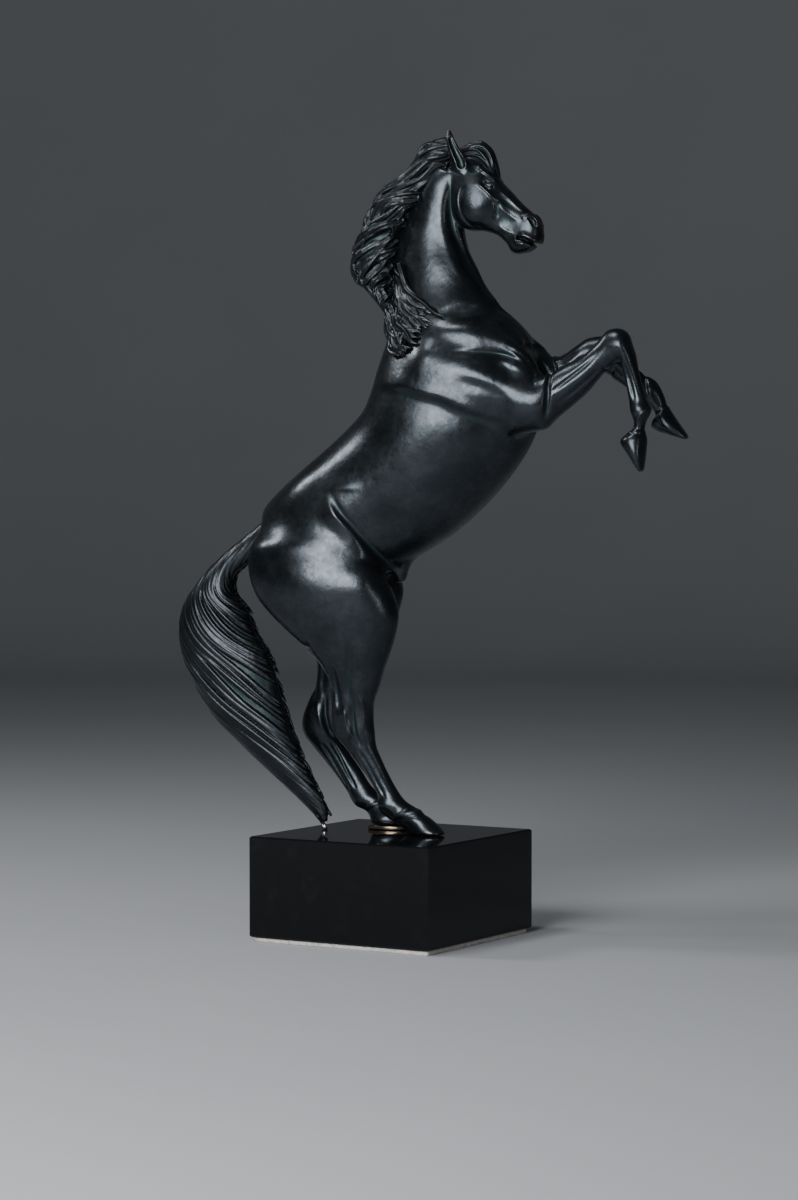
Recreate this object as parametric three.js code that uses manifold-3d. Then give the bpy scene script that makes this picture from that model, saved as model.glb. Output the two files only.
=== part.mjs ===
// A rearing bronze horse on a polished black stone block.
// Millimetres, +Z up. The origin is the centre of the felt's lower face, on which it stands.
// The horse has its own frame: x forwards, y to its left, z up, turned a little on the block.

import * as THREE from 'three';
import { mergeVertices } from 'three/addons/utils/BufferGeometryUtils.js';
import Module from 'manifold-3d';

const wasm = await Module();
wasm.setup();

// The block and what it stands on
const BLOCK_SIDE = 160;
const BLOCK_HEIGHT = 78;
const BLOCK_BEVEL = 1.2;
const FELT_THICKNESS = 3.3;
const FELT_INSET = 2.5;
const GAP = 0.3;
const BLOCK_BOTTOM = FELT_THICKNESS + GAP;
const BLOCK_TOP = BLOCK_BOTTOM + BLOCK_HEIGHT;

// The horse on the block
const HORSE_TURN = THREE.MathUtils.degToRad(10);
const HORSE_ASIDE = 13;

// The castings
const WALL = 6;
const THIGH_SEAM = 226;
const EAR_SIDES = 10;
const LIMB_SIDES = 14;
const THIGH_SIDES = 18;
const NECK_SIDES = 20;
const TRUNK_SIDES = 26;

// The hardware: M6 studs in both hind hooves, a plate under the left one, and a fine pin under
// the tail. A cutter runs THROUGH a face by so much.
const STUD_RADIUS = 3;
const STUD_LENGTH = 84;
const STUD_RISE = 6;
const STUD_CLEARANCE = 0.4;
const COUNTERBORE_RADIUS = 11;
const COUNTERBORE_DEPTH = 14;
const WASHER_RADIUS = 9;
const WASHER_THICKNESS = 1.6;
const NUT_ACROSS_CORNERS = 11.5;
const NUT_HEIGHT = 5;
const PIN_RADIUS = 1.5;
const PIN_SIDES = 12;
const PIN_DEPTH = 14;
const PIN_BALL_RADIUS = 2.4;
const PLATE_THICKNESS = 3;
const PLATE_LENGTH = 44;
const PLATE_WIDTH = 30;
const THROUGH = 1;
const RIGHT_STUD_RISE = STUD_RISE;
const LEFT_STUD_RISE = PLATE_THICKNESS + STUD_RISE;

// Where the hooves and the tail stand, in the horse's frame
const RIGHT_HOOF = { x: 29, y: -18 };
const LEFT_HOOF = { x: -8, y: 16 };
const LEFT_HOOF_TURN = THREE.MathUtils.degToRad(12);
const TAIL_TIP = { x: -58, y: -9.5 };

// A rib is one cross-section of a casting, an oval that lies across it:
// [rear x, rear z, front x, front z, rear y, half width]. On the trunk and neck the rear
// end is the back or crest and the front end is the belly or throat. A seventh number, on a
// hoof that points a little aside, is how far the front end lies to the left of the rear end.
const TORSO_RIBS = [
  [-113, 322, -108, 304, 0, 8],
  [-110, 335, -92, 287, 0, 24],
  [-95, 350, -68, 272, 0, 38],
  [-77, 365, -40, 272, 0, 45],
  [-57, 381, -8, 284, 0, 46],
  [-39, 397, 20, 298, 0, 45],
  [-26, 411, 44, 313, 0, 46],
  [-19, 427, 67, 332, 0, 47],
  [-14, 444, 88, 354, 0, 47],
  [-8, 461, 106, 379, 0, 45],
  [-3, 475, 117, 405, 0, 42],
  [6, 488, 118, 430, 0, 37],
  [24, 493, 112, 451, 0, 31],
  [40, 490, 98, 466, 0, 22],
];
const NECK_RIBS = [
  [14, 462, 108, 440, 0, 32],
  [3, 478, 107, 465, 0, 33],
  [-3, 493, 93, 483, 0, 28],
  [-7, 510, 77, 499, 0, 23],
  [-8, 528, 66, 517, 0, 19.5],
  [-4, 545, 58, 532, 0, 17],
  [3, 561, 54, 547, 0, 15.5],
  [12, 577, 53, 562, 0, 14.5],
  [22, 591, 55, 576, 0, 13.5],
  [32, 599, 60, 587, 0, 11],
];
const HEAD_RIBS = [
  [42, 586, 48, 604, 0, 9],
  [45, 571, 64, 604, 0, 13.5],
  [49, 556, 77, 595, 0, 16.5],
  [59, 548, 86, 584, 0, 16],
  [71, 547, 93, 577, 0, 13],
  [82, 543.5, 100, 569.5, 0, 10.5],
  [89, 538, 107, 563, 0, 9.5],
  [94, 532, 113, 557.5, 0, 10],
  [100, 529.5, 118, 550, 0, 10],
  [107, 530.5, 119, 541, 0, 8],
  [111, 533, 116.5, 537, 0, 4],
];
const RIGHT_EAR_RIBS = [
  [44, 596, 59, 588, -9, 4.5],
  [43, 604, 59, 597, -9.5, 5.5],
  [42, 612, 55, 605, -10, 5],
  [43, 619, 50, 614, -10, 3],
  [45, 625.5, 46.5, 625, -10, 0.7],
];
const LEFT_EAR_RIBS = [
  [44, 596, 59, 588, 9, 4.5],
  [46, 604, 61, 595, 9.5, 5.5],
  [50, 610, 62, 600, 10, 5],
  [56, 612, 61, 607, 10.5, 3],
  [60, 613, 61, 612, 11, 0.7],
];
const FORELOCK_RIBS = [
  [50, 600, 50, 609, 0, 6],
  [58, 598, 60, 613, 0, 8],
  [66, 596, 72, 614.5, 0, 9],
  [71, 592, 80, 608, 0, 9],
  [74, 588, 84, 597, 0, 8],
  [77, 585, 86, 588, 0, 5],
];
const MANE_RIBS = [
  [29, 613, 41, 603, 0, 6],
  [19, 606, 33, 592, -1, 9],
  [7, 591, 22, 577, -1, 10],
  [-12, 579, 12, 567, -2, 11],
  [-20, 566, 5, 555, -2, 12],
  [-28, 550, 0, 541, -2, 12.5],
  [-35, 532, -3, 526, -3, 13],
  [-33, 514, -2, 508, -4, 14],
  [-21, 501, 9, 495, -6, 17],
  [-11, 488, 17, 482, -10, 20],
  [-4, 475, 22, 470, -17, 17],
  [2, 463, 18, 459, -27, 13],
  [8, 451, 13, 450, -33, 8],
];
const TAIL_RIBS = [
  [-104, 332, -100, 312, 0, 7],
  [-117, 320, -112, 302, 0, 8],
  [-133, 307, -128, 289, 0, 8.5],
  [-149, 294, -139, 279, 0, 10],
  [-167, 276, -138, 264, 0, 14],
  [-181, 256, -126, 252, 0, 17],
  [-185, 232, -119, 234, 0, 19],
  [-177, 204, -106, 215, -1, 19],
  [-158, 173, -97, 188, -2, 18],
  [-134, 147, -84, 162, -4, 16],
  [-107, 125, -72, 138, -6, 12.5],
  [-84, 107, -62, 119, -8, 9],
  [-69, 94.5, -54, 101, -9, 6],
  [-60, 87, -54, 88, -9.5, 2.5],
];

// Legs, from the root that sits in the trunk down to the hoof
const RIGHT_FORELEG_RIBS = [
  [108, 390, 116, 432, -23, 15],
  [127, 395, 136, 439, -22, 14],
  [138, 403, 142, 443, -21, 12.5],
  [159, 420, 157, 450, -20, 10.5],
  [171, 433, 169, 460, -20, 9],
  [181, 443, 178, 469, -20, 9.5],
  [188, 445, 190, 468, -20, 10],
  [188, 442, 198, 453, -20, 9],
  [190, 435, 201, 440, -20, 6.5],
  [192, 425, 204, 428, -20, 5.5],
  [194, 415, 208, 416, -20, 6],
  [195, 408, 211, 408, -20, 7.5],
  [198, 399, 207, 399, -20, 5.5],
  [196, 393, 206, 392, -20, 5.5],
  [187, 385, 208, 387, -20, 9.5],
  [195, 372, 207, 376, -20, 10],
  [202, 361, 205, 362, -20, 6],
];
const LEFT_FORELEG_RIBS = [
  [100, 402, 108, 458, 25, 16],
  [116, 410, 120, 450, 23, 15],
  [131, 423, 130, 453, 21, 12],
  [142, 434, 141, 460, 20, 10.5],
  [152, 439, 150, 465, 20, 9],
  [162, 438, 163, 465, 20, 10],
  [169, 433, 177, 456, 20, 9],
  [177, 428, 186, 443, 20, 6],
  [186, 421, 195, 436, 20, 5.5],
  [194, 415, 203, 431, 20, 7.5],
  [201, 409, 209, 421, 20, 6],
  [203, 402, 212, 412, 20, 5.5],
  [199, 396, 214, 410, 20, 9.5],
  [211, 390.5, 220, 401, 20, 10],
  [227, 386, 229, 388.5, 20, 6],
];
const RIGHT_HIND_LEG_RIBS = [
  [-104, 322, -34, 336, -20, 22],
  [-113, 305, -18, 313, -24, 26],
  [-114, 285, -8, 291, -27, 27],
  [-107, 266, 5, 272, -29, 26],
  [-94, 250, 11, 255, -29, 23],
  [-78, 235, 9, 239, -28, 20],
  [-60, 219, 4, 224, -26, 17.5],
  [-50, 205, -2, 210, -24, 15],
  [-46, 192, -7, 196, -22, 13],
  [-47, 179, -12, 183, -21, 11.5],
  [-46, 167, -13, 171, -20, 11],
  [-44, 157, -12, 160, -20, 10.5],
  [-36, 147, -11, 149, -19, 8.5],
  [-27, 136, -6, 138, -19, 7],
  [-18, 123, 0, 126, -18.5, 6.5],
  [-10, 110, 7, 114, -18, 7],
  [-9, 101, 13, 107, -18, 8.5],
  [-2, 94, 20, 103, -18, 8],
  [8, 88, 28, 99, -16, 10, -5],
  [12, 85, 39, 91, -14, 12, -7],
  [14, 82.2, 49, 82.2, -14, 13, -9],
];
const LEFT_HIND_LEG_RIBS = [
  [-104, 322, -36, 334, 20, 22],
  [-114, 305, -24, 311, 24, 26],
  [-114, 285, -16, 290, 27, 27],
  [-110, 266, -8, 271, 29, 26],
  [-105, 250, -10, 254, 28, 23],
  [-97, 236, -15, 239, 26, 20],
  [-86, 221, -24, 225, 23, 17.5],
  [-76, 208, -34, 212, 20, 15],
  [-78, 192, -39, 197, 18, 13],
  [-83, 178, -45, 183, 17, 11.5],
  [-87, 165, -49, 171, 16, 11],
  [-86, 154, -52, 160, 16, 10.5],
  [-77, 143, -54, 151, 16, 8.5],
  [-67, 132, -48, 141, 16, 7],
  [-56, 119, -38, 128, 16, 6.5],
  [-47, 107, -30, 116, 16, 7],
  [-42, 99, -22, 109, 16, 8.5],
  [-33, 95, -13, 104, 16, 8],
  [-29, 91, -6, 102, 14, 10, 4],
  [-27, 88, 3, 95, 12, 12, 6],
  [-26, 85.5, 11, 85.5, 12, 13, 8],
];
const SHEATH_RIBS = [
  [-2, 296, 14, 300, 0, 7],
  [-3, 284, 9, 287, 0, 6.5],
  [-2, 275, 6, 277, 0, 5],
];

// Dowels that locate one casting on the next: [from, to, radius] in the horse's frame
const DOWELS = {
  head_dowel: [[38, 0, 588], [66, 0, 575], 2],
  tail_dowel: [[-97, 0, 324], [-126, 0, 303], 2.5],
  right_foreleg_dowel: [[104, -22, 402], [146, -21, 429], 3],
  left_foreleg_dowel: [[96, 22, 412], [134, 21, 438], 3],
  right_hind_leg_dowel: [[-27, -27, 243], [-27, -25, 208], 3],
  left_hind_leg_dowel: [[-57, 26, 243], [-55, 22, 208], 3],
};

// Materials
const bronze = new THREE.MeshStandardMaterial({ color: 0x14191d, roughness: 0.36, metalness: 0.9 });
const stone = new THREE.MeshStandardMaterial({ color: 0x08090b, roughness: 0.12, metalness: 0 });
const felt = new THREE.MeshStandardMaterial({ color: 0x9a948c, roughness: 0.95, metalness: 0 });
const steel = new THREE.MeshStandardMaterial({ color: 0xb4b6b8, roughness: 0.3, metalness: 1 });

// Rounded power for a superellipse: 2 gives an ellipse, and more gives a squarer section.
function rounded(value, power) {
  return Math.sign(value) * Math.abs(value) ** (2 / power);
}

// A closed body over rings of points, with a flat fan over each end.
function skin(rings) {
  const sides = rings[0].length;
  const centre = (ring) => ring.reduce((sum, p) => sum.add(p), new THREE.Vector3()).divideScalar(sides);
  const points = [...rings.flat(), centre(rings[0]), centre(rings[rings.length - 1])];
  const first = points.length - 2;
  const last = points.length - 1;
  const faces = [];
  for (let i = 0; i < rings.length - 1; i++) {
    for (let j = 0; j < sides; j++) {
      const a = i * sides + j;
      const b = i * sides + (j + 1) % sides;
      faces.push(a, b, b + sides, a, b + sides, a + sides);
    }
  }
  const end = (rings.length - 1) * sides;
  for (let j = 0; j < sides; j++) {
    const k = (j + 1) % sides;
    faces.push(k, j, first, end + j, end + k, last);
  }
  const geometry = new THREE.BufferGeometry();
  const numbers = points.flatMap((point) => point.toArray());
  geometry.setAttribute('position', new THREE.Float32BufferAttribute(numbers, 3));
  geometry.setIndex(faces);
  return geometry;
}

// A loft over ribs. grow moves its skin outwards.
function loft(ribs, { sides = LIMB_SIDES, steps = 1, grow = 0, power = 2 } = {}) {
  const rears = ribs.map(([x, z, , , y]) => new THREE.Vector3(x, y, z));
  const fronts = ribs.map(([, , x, z, y, , aside = 0]) => new THREE.Vector3(x, y + aside, z));
  const widths = ribs.map(([, , , , , w]) => new THREE.Vector3(w, 0, 0));
  const rear = new THREE.CatmullRomCurve3(rears, false, 'catmullrom', 0.5);
  const front = new THREE.CatmullRomCurve3(fronts, false, 'catmullrom', 0.5);
  const width = new THREE.CatmullRomCurve3(widths, false, 'catmullrom', 0.5);
  const count = (ribs.length - 1) * steps;
  const rings = [];
  for (let i = 0; i <= count; i++) {
    const a = rear.getPoint(i / count);
    const b = front.getPoint(i / count);
    const middle = a.clone().add(b).divideScalar(2);
    const along = b.clone().sub(a).divideScalar(2);
    along.setLength(Math.max(along.length() + grow, 0.2));
    const half = Math.max(width.getPoint(i / count).x + grow, 0.2);
    const ring = [];
    for (let j = 0; j < sides; j++) {
      const angle = (2 * Math.PI * j) / sides;
      const point = middle.clone().addScaledVector(along, rounded(Math.cos(angle), power));
      point.y += half * rounded(Math.sin(angle), power);
      ring.push(point);
    }
    rings.push(ring);
  }
  return solid(skin(rings));
}

// A closed three.js geometry as a solid for joining and cutting, facing outwards.
function solid(source) {
  const plain = source.clone();
  plain.deleteAttribute('normal');
  plain.deleteAttribute('uv');
  const merged = mergeVertices(plain, 1e-4);
  const position = merged.getAttribute('position');
  const index = Uint32Array.from(merged.getIndex().array);
  const corner = (i) => new THREE.Vector3().fromBufferAttribute(position, index[i]);
  let volume = 0;
  for (let i = 0; i < index.length; i += 3) {
    volume += corner(i).dot(corner(i + 1).cross(corner(i + 2)));
  }
  if (volume < 0) index.reverse();
  const vertProperties = Float32Array.from(position.array);
  return new wasm.Manifold(new wasm.Mesh({ numProp: 3, vertProperties, triVerts: index }));
}

// The largest piece that a cut leaves
function largest(cut) {
  return cut.decompose().sort((a, b) => b.volume() - a.volume())[0];
}

function geometry(body) {
  const { vertProperties, triVerts } = body.getMesh();
  const result = new THREE.BufferGeometry();
  result.setAttribute('position', new THREE.Float32BufferAttribute(vertProperties, 3));
  result.setIndex(Array.from(triVerts));
  result.computeVertexNormals();
  return result;
}

// An upright cylinder from z = low to z = high
function upright(radius, low, high, x = 0, y = 0, sides = 24) {
  const shape = new THREE.CylinderGeometry(radius, radius, high - low, sides);
  shape.rotateX(Math.PI / 2);
  shape.translate(x, y, (low + high) / 2);
  return solid(shape);
}

// A rod between two points, lengthened by stretch at each end, its radius larger by extra
function rod([from, to, radius], stretch, extra) {
  const a = new THREE.Vector3(...from);
  const b = new THREE.Vector3(...to);
  const along = b.clone().sub(a);
  const height = along.length() + 2 * stretch;
  const shape = new THREE.CylinderGeometry(radius + extra, radius + extra, height, 16);
  const upwards = new THREE.Vector3(0, 1, 0);
  shape.applyQuaternion(new THREE.Quaternion().setFromUnitVectors(upwards, along.normalize()));
  shape.translate((a.x + b.x) / 2, (a.y + b.y) / 2, (a.z + b.z) / 2);
  return solid(shape);
}

const dowel = (name) => rod(DOWELS[name], 0, 0);
const dowelHole = (name) => rod(DOWELS[name], GAP, GAP);

// The parts' places on the block, seen from the block's own frame
const horse = new THREE.Group();
horse.rotation.z = HORSE_TURN;
horse.position.set(-Math.sin(HORSE_TURN) * HORSE_ASIDE, Math.cos(HORSE_TURN) * HORSE_ASIDE, 0);
const toBlock = ({ x, y }) => new THREE.Vector3(x, y, 0).applyEuler(horse.rotation).add(horse.position);

function add(group, name, body, material) {
  const mesh = new THREE.Mesh(geometry(body), material);
  mesh.name = name;
  group.add(mesh);
}

// Trunk: torso, thighs down to the seam, and sheath
function thigh(ribs, grow) {
  return loft(ribs, { grow, sides: THIGH_SIDES }).trimByPlane([0, 0, 1], THIGH_SEAM - grow);
}

function trunk(grow) {
  const torso = loft(TORSO_RIBS, { grow, sides: TRUNK_SIDES });
  return torso
    .add(thigh(RIGHT_HIND_LEG_RIBS, grow))
    .add(thigh(LEFT_HIND_LEG_RIBS, grow))
    .add(loft(SHEATH_RIBS, { grow, sides: 10 }));
}

const torsoHollow = loft(TORSO_RIBS.slice(2, -1), { grow: -WALL, sides: TRUNK_SIDES });
const neckHollow = loft(NECK_RIBS.slice(0, -2), { grow: -WALL, sides: NECK_SIDES });
const hollow = torsoHollow.add(neckHollow);

function bodyCasting() {
  let body = trunk(0).subtract(hollow);
  for (const name of Object.keys(DOWELS)) {
    if (name !== 'head_dowel') body = body.subtract(dowelHole(name));
  }
  return largest(body);
}

function neck(grow) {
  return loft(NECK_RIBS, { grow, sides: NECK_SIDES });
}

const trunkSkin = trunk(GAP);
const neckSkin = neck(GAP);

function neckCasting() {
  return largest(neck(0).subtract(trunkSkin).subtract(hollow).subtract(dowelHole('head_dowel')));
}

function head(grow) {
  return loft(HEAD_RIBS, { grow, sides: NECK_SIDES, power: 2.2 })
    .add(loft(RIGHT_EAR_RIBS, { grow, sides: EAR_SIDES }))
    .add(loft(LEFT_EAR_RIBS, { grow, sides: EAR_SIDES }));
}

const headSkin = head(GAP);

function headCasting() {
  return largest(head(0).subtract(neckSkin).subtract(dowelHole('head_dowel')));
}

function maneCasting() {
  const mane = loft(MANE_RIBS, { sides: 18, steps: 2 });
  return largest(mane.subtract(neckSkin).subtract(trunkSkin).subtract(headSkin));
}

function forelockCasting() {
  const maneSkin = loft(MANE_RIBS, { sides: 18, steps: 2, grow: GAP });
  const forelock = loft(FORELOCK_RIBS);
  return largest(forelock.subtract(headSkin).subtract(neckSkin).subtract(maneSkin));
}

function tailCasting() {
  const tail = loft(TAIL_RIBS, { sides: 18, steps: 2, power: 1.8 });
  return largest(tail.subtract(trunkSkin).subtract(dowelHole('tail_dowel')));
}

function foreleg(ribs, name) {
  return largest(loft(ribs, { sides: LIMB_SIDES }).subtract(trunkSkin).subtract(dowelHole(name)));
}

// The clearance hole for a stud, from z = low to z = high
function studHole(stand, low, high) {
  return upright(STUD_RADIUS + STUD_CLEARANCE, low, high, stand.x, stand.y);
}

// rise is the height of the stud's end above the block.
function hindLeg(ribs, name, stand, rise) {
  const below = loft(ribs, { sides: THIGH_SIDES }).trimByPlane([0, 0, -1], -THIGH_SEAM + GAP);
  const hole = studHole(stand, BLOCK_TOP - THROUGH, BLOCK_TOP + rise + GAP);
  return largest(below.subtract(dowelHole(name)).subtract(hole));
}

// The thin plate that levels the left hind hoof
function hoofPlate() {
  const outline = new THREE.Shape();
  outline.absellipse(0, 0, PLATE_LENGTH / 2, PLATE_WIDTH / 2, 0, 2 * Math.PI);
  const options = { depth: PLATE_THICKNESS, bevelEnabled: false, curveSegments: 14 };
  const plate = new THREE.ExtrudeGeometry(outline, options);
  plate.rotateZ(LEFT_HOOF_TURN);
  plate.translate(LEFT_HOOF.x, LEFT_HOOF.y, BLOCK_TOP + GAP);
  const hole = studHole(LEFT_HOOF, BLOCK_TOP - THROUGH, BLOCK_TOP + PLATE_THICKNESS + THROUGH);
  return solid(plate).subtract(hole);
}

function block() {
  const half = BLOCK_SIDE / 2 - BLOCK_BEVEL;
  const square = new THREE.Shape();
  square.moveTo(-half, -half);
  square.lineTo(half, -half);
  square.lineTo(half, half);
  square.lineTo(-half, half);
  square.closePath();
  const shape = new THREE.ExtrudeGeometry(square, {
    depth: BLOCK_HEIGHT - 2 * BLOCK_BEVEL,
    bevelThickness: BLOCK_BEVEL,
    bevelSize: BLOCK_BEVEL,
    bevelSegments: 1,
  });
  shape.translate(0, 0, BLOCK_BOTTOM + BLOCK_BEVEL);
  let body = solid(shape);
  const low = BLOCK_BOTTOM - THROUGH;
  const high = BLOCK_TOP + THROUGH;
  for (const stand of [RIGHT_HOOF, LEFT_HOOF].map(toBlock)) {
    const seat = BLOCK_BOTTOM + COUNTERBORE_DEPTH;
    body = body.subtract(studHole(stand, low, high));
    body = body.subtract(upright(COUNTERBORE_RADIUS, low, seat, stand.x, stand.y));
  }
  const tip = toBlock(TAIL_TIP);
  const end = BLOCK_TOP - PIN_DEPTH - GAP;
  return body.subtract(upright(PIN_RADIUS + GAP, end, high, tip.x, tip.y, PIN_SIDES));
}

function feltPad() {
  const side = BLOCK_SIDE - 2 * FELT_INSET;
  const shape = new THREE.BoxGeometry(side, side, FELT_THICKNESS);
  shape.translate(0, 0, FELT_THICKNESS / 2);
  return solid(shape);
}

// Stud, washer and nut under one hind hoof, on the hoof's axis
function hoofFastening(side, stand, rise) {
  const top = BLOCK_TOP + rise;
  const seat = BLOCK_BOTTOM + COUNTERBORE_DEPTH - GAP;
  const bore = studHole(stand, 0, BLOCK_TOP);
  const stud = upright(STUD_RADIUS, top - STUD_LENGTH + COUNTERBORE_DEPTH / 2, top, stand.x, stand.y);
  const washer = upright(WASHER_RADIUS, seat - WASHER_THICKNESS, seat, stand.x, stand.y, 28);
  const nutTop = seat - WASHER_THICKNESS - GAP;
  const nut = upright(NUT_ACROSS_CORNERS / 2, nutTop - NUT_HEIGHT, nutTop, stand.x, stand.y, 6);
  add(statue, side + '_hoof_stud', stud, steel);
  add(statue, side + '_hoof_washer', washer.subtract(bore), steel);
  add(statue, side + '_hoof_nut', nut.subtract(bore), steel);
}

// A fine pin set in the block, with a ball on which the tail's tip rests
function tailPin() {
  const profile = [new THREE.Vector2(0, -PIN_DEPTH), new THREE.Vector2(PIN_RADIUS, -PIN_DEPTH)];
  const start = Math.asin(PIN_RADIUS / PIN_BALL_RADIUS);
  const rounds = 8;
  for (let i = 0; i <= rounds; i++) {
    const angle = start + ((Math.PI - start) * i) / rounds;
    const height = GAP + PIN_BALL_RADIUS * (Math.cos(start) - Math.cos(angle));
    profile.push(new THREE.Vector2(i === rounds ? 0 : PIN_BALL_RADIUS * Math.sin(angle), height));
  }
  const shape = new THREE.LatheGeometry(profile, 16);
  shape.rotateX(Math.PI / 2);
  const tip = toBlock(TAIL_TIP);
  shape.translate(tip.x, tip.y, BLOCK_TOP);
  return solid(shape);
}

const statue = new THREE.Group();
statue.add(horse);
add(statue, 'stone_block', block(), stone);
add(statue, 'felt_pad', feltPad(), felt);
add(horse, 'body_casting', bodyCasting(), bronze);
add(horse, 'neck_casting', neckCasting(), bronze);
add(horse, 'head_casting', headCasting(), bronze);
add(horse, 'mane_casting', maneCasting(), bronze);
add(horse, 'forelock_casting', forelockCasting(), bronze);
add(horse, 'tail_casting', tailCasting(), bronze);
add(horse, 'right_foreleg', foreleg(RIGHT_FORELEG_RIBS, 'right_foreleg_dowel'), bronze);
add(horse, 'left_foreleg', foreleg(LEFT_FORELEG_RIBS, 'left_foreleg_dowel'), bronze);
const rightHindLeg = hindLeg(RIGHT_HIND_LEG_RIBS, 'right_hind_leg_dowel', RIGHT_HOOF, RIGHT_STUD_RISE);
const leftHindLeg = hindLeg(LEFT_HIND_LEG_RIBS, 'left_hind_leg_dowel', LEFT_HOOF, LEFT_STUD_RISE);
add(horse, 'right_hind_leg', rightHindLeg, bronze);
add(horse, 'left_hind_leg', leftHindLeg, bronze);
add(horse, 'left_hoof_plate', hoofPlate(), bronze);
for (const name of Object.keys(DOWELS)) {
  add(horse, name, dowel(name), bronze);
}
hoofFastening('right', toBlock(RIGHT_HOOF), RIGHT_STUD_RISE);
hoofFastening('left', toBlock(LEFT_HOOF), LEFT_STUD_RISE);
add(statue, 'tail_pin', tailPin(), steel);

export default statue;
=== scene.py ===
"""A rearing bronze horse on a polished black stone block.

The castings are modelled as fields. A field holds the distance to the metal's skin, negative
inside, at each point of a fine grid, so muscles, folds, creases and locks of hair are raised or
cut by adding to it, and its zero surface becomes the mesh. Lengths are millimetres in the horse's
own frame, x forwards, y to its left and z up, until a mesh is made.
"""
import math

import bmesh
import bpy
import numpy as np
import openvdb as vdb
from mathutils import Matrix, Vector


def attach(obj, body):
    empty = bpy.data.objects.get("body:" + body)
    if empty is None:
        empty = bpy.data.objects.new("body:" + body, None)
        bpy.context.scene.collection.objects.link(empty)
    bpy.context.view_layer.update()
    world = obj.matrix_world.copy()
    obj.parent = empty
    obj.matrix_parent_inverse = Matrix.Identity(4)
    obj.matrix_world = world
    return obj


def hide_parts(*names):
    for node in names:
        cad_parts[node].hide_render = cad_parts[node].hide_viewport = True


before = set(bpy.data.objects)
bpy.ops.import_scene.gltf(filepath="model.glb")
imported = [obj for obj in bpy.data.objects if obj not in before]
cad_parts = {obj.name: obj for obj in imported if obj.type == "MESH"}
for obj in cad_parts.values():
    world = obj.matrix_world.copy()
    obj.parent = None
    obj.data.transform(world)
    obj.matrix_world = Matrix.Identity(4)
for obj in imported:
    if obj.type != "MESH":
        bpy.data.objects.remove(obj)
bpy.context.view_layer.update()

MM = 0.001
FAR = 10.0
ROOT = "root"
rng = np.random.default_rng(7)

# The horse on the block
HORSE_TURN = math.radians(10)
HORSE_ASIDE = 13
HORSE = (
    Matrix.Rotation(HORSE_TURN, 4, "Z")
    @ Matrix.Translation((0, HORSE_ASIDE * MM, 0))
    @ Matrix.Diagonal((MM, MM, MM, 1))
)

# The felt, the plate under the left hind hoof and the pin under the tail
FELT_SIDE = 155
FELT_CORNER = 2
BLOCK_TOP = 81.6
PLATE_PLACE = (-8, 16, BLOCK_TOP + 0.3)
PLATE_TURN = math.radians(12)
PLATE_SIZE = (44, 30)
PLATE_HOLE = 3.4
PIN_PLACE = (-58, -9.5, BLOCK_TOP)

# Grid steps
COARSE = 1
BODY_STEP = 1.3 * COARSE
NECK_STEP = 0.8 * COARSE
LEG_STEP = 0.65 * COARSE
HEAD_STEP = 0.45 * COARSE
HAIR_STEP = 0.7 * COARSE
TAIL_STEP = 0.84 * COARSE

# Hair
MANE_ENDS = 40
TAIL_STRANDS = 104
TAIL_TIPS = [(-63, -11, 91, 1.3), (-53.5, -8, 93, 1.2), (-58, -9.5, 84.4, 1.3), (-60, -6, 96, 1.5)]

# How widely the skin is averaged to tell hollows from ridges, and the most distance that counts
RELIEF_WIDTH = 1.8
RELIEF_LIMIT = 2.5

# Camera, lights and floor, in metres and radians. An azimuth is measured from -y towards +x.
CAMERA_AZIMUTH = math.radians(31.02)
CAMERA_PITCH = 0.035
CAMERA_DISTANCE = 2.619
CAMERA_ASIDE = 0.0054
CAMERA_HEIGHT = 0.2627
CAMERA_LENS = 101.2
LIGHT_AIM = 0.34
FLOOR_FLAT = 3.5
FLOOR_BEND = 1.5
WALL_TOP = 2.6

# The seams between the castings. Each is a plane, given by a point, its normal and how far from
# the point it cuts. Only faces this near the plane are looked at.
SEAM_MARGIN = 4
THIGH_SEAM = ((-40, 0, 226), (0, 0, 1), 150)
ELBOW_SEAM = ((122, 0, 415), (1, 0, 0), 60)
WITHERS_SEAM = ((40, 0, 480), (0.3, 0, 1), 130)
CHEEK_SEAM = ((51, 0, 569), (1, 0, 0.25), 38)

# A rib is one cross-section, an oval that lies across the casting:
# [rear x, rear z, front x, front z, rear y, half width]. A seventh number is how far the front
# end lies to the left of the rear end.
TORSO_RIBS = [
    [-113, 322, -108, 304, 0, 8],
    [-110, 335, -92, 287, 0, 24],
    [-95, 350, -68, 272, 0, 38],
    [-77, 365, -40, 272, 0, 45],
    [-57, 381, -8, 284, 0, 46],
    [-39, 397, 20, 298, 0, 45],
    [-26, 411, 44, 313, 0, 46],
    [-19, 427, 67, 332, 0, 47],
    [-14, 444, 88, 354, 0, 47],
    [-8, 461, 106, 379, 0, 45],
    [-3, 475, 117, 405, 0, 42],
    [6, 488, 118, 430, 0, 37],
    [24, 493, 112, 451, 0, 31],
    [40, 490, 98, 466, 0, 22],
]
NECK_RIBS = [
    [14, 462, 108, 440, 0, 32],
    [3, 478, 107, 465, 0, 33],
    [-3, 493, 93, 483, 0, 28],
    [-7, 510, 77, 499, 0, 23],
    [-8, 528, 66, 517, 0, 19.5],
    [-4, 545, 58, 532, 0, 17],
    [3, 561, 54, 547, 0, 15.5],
    [12, 577, 53, 562, 0, 14.5],
    [22, 591, 55, 576, 0, 13.5],
    [32, 599, 60, 587, 0, 11],
]
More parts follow.
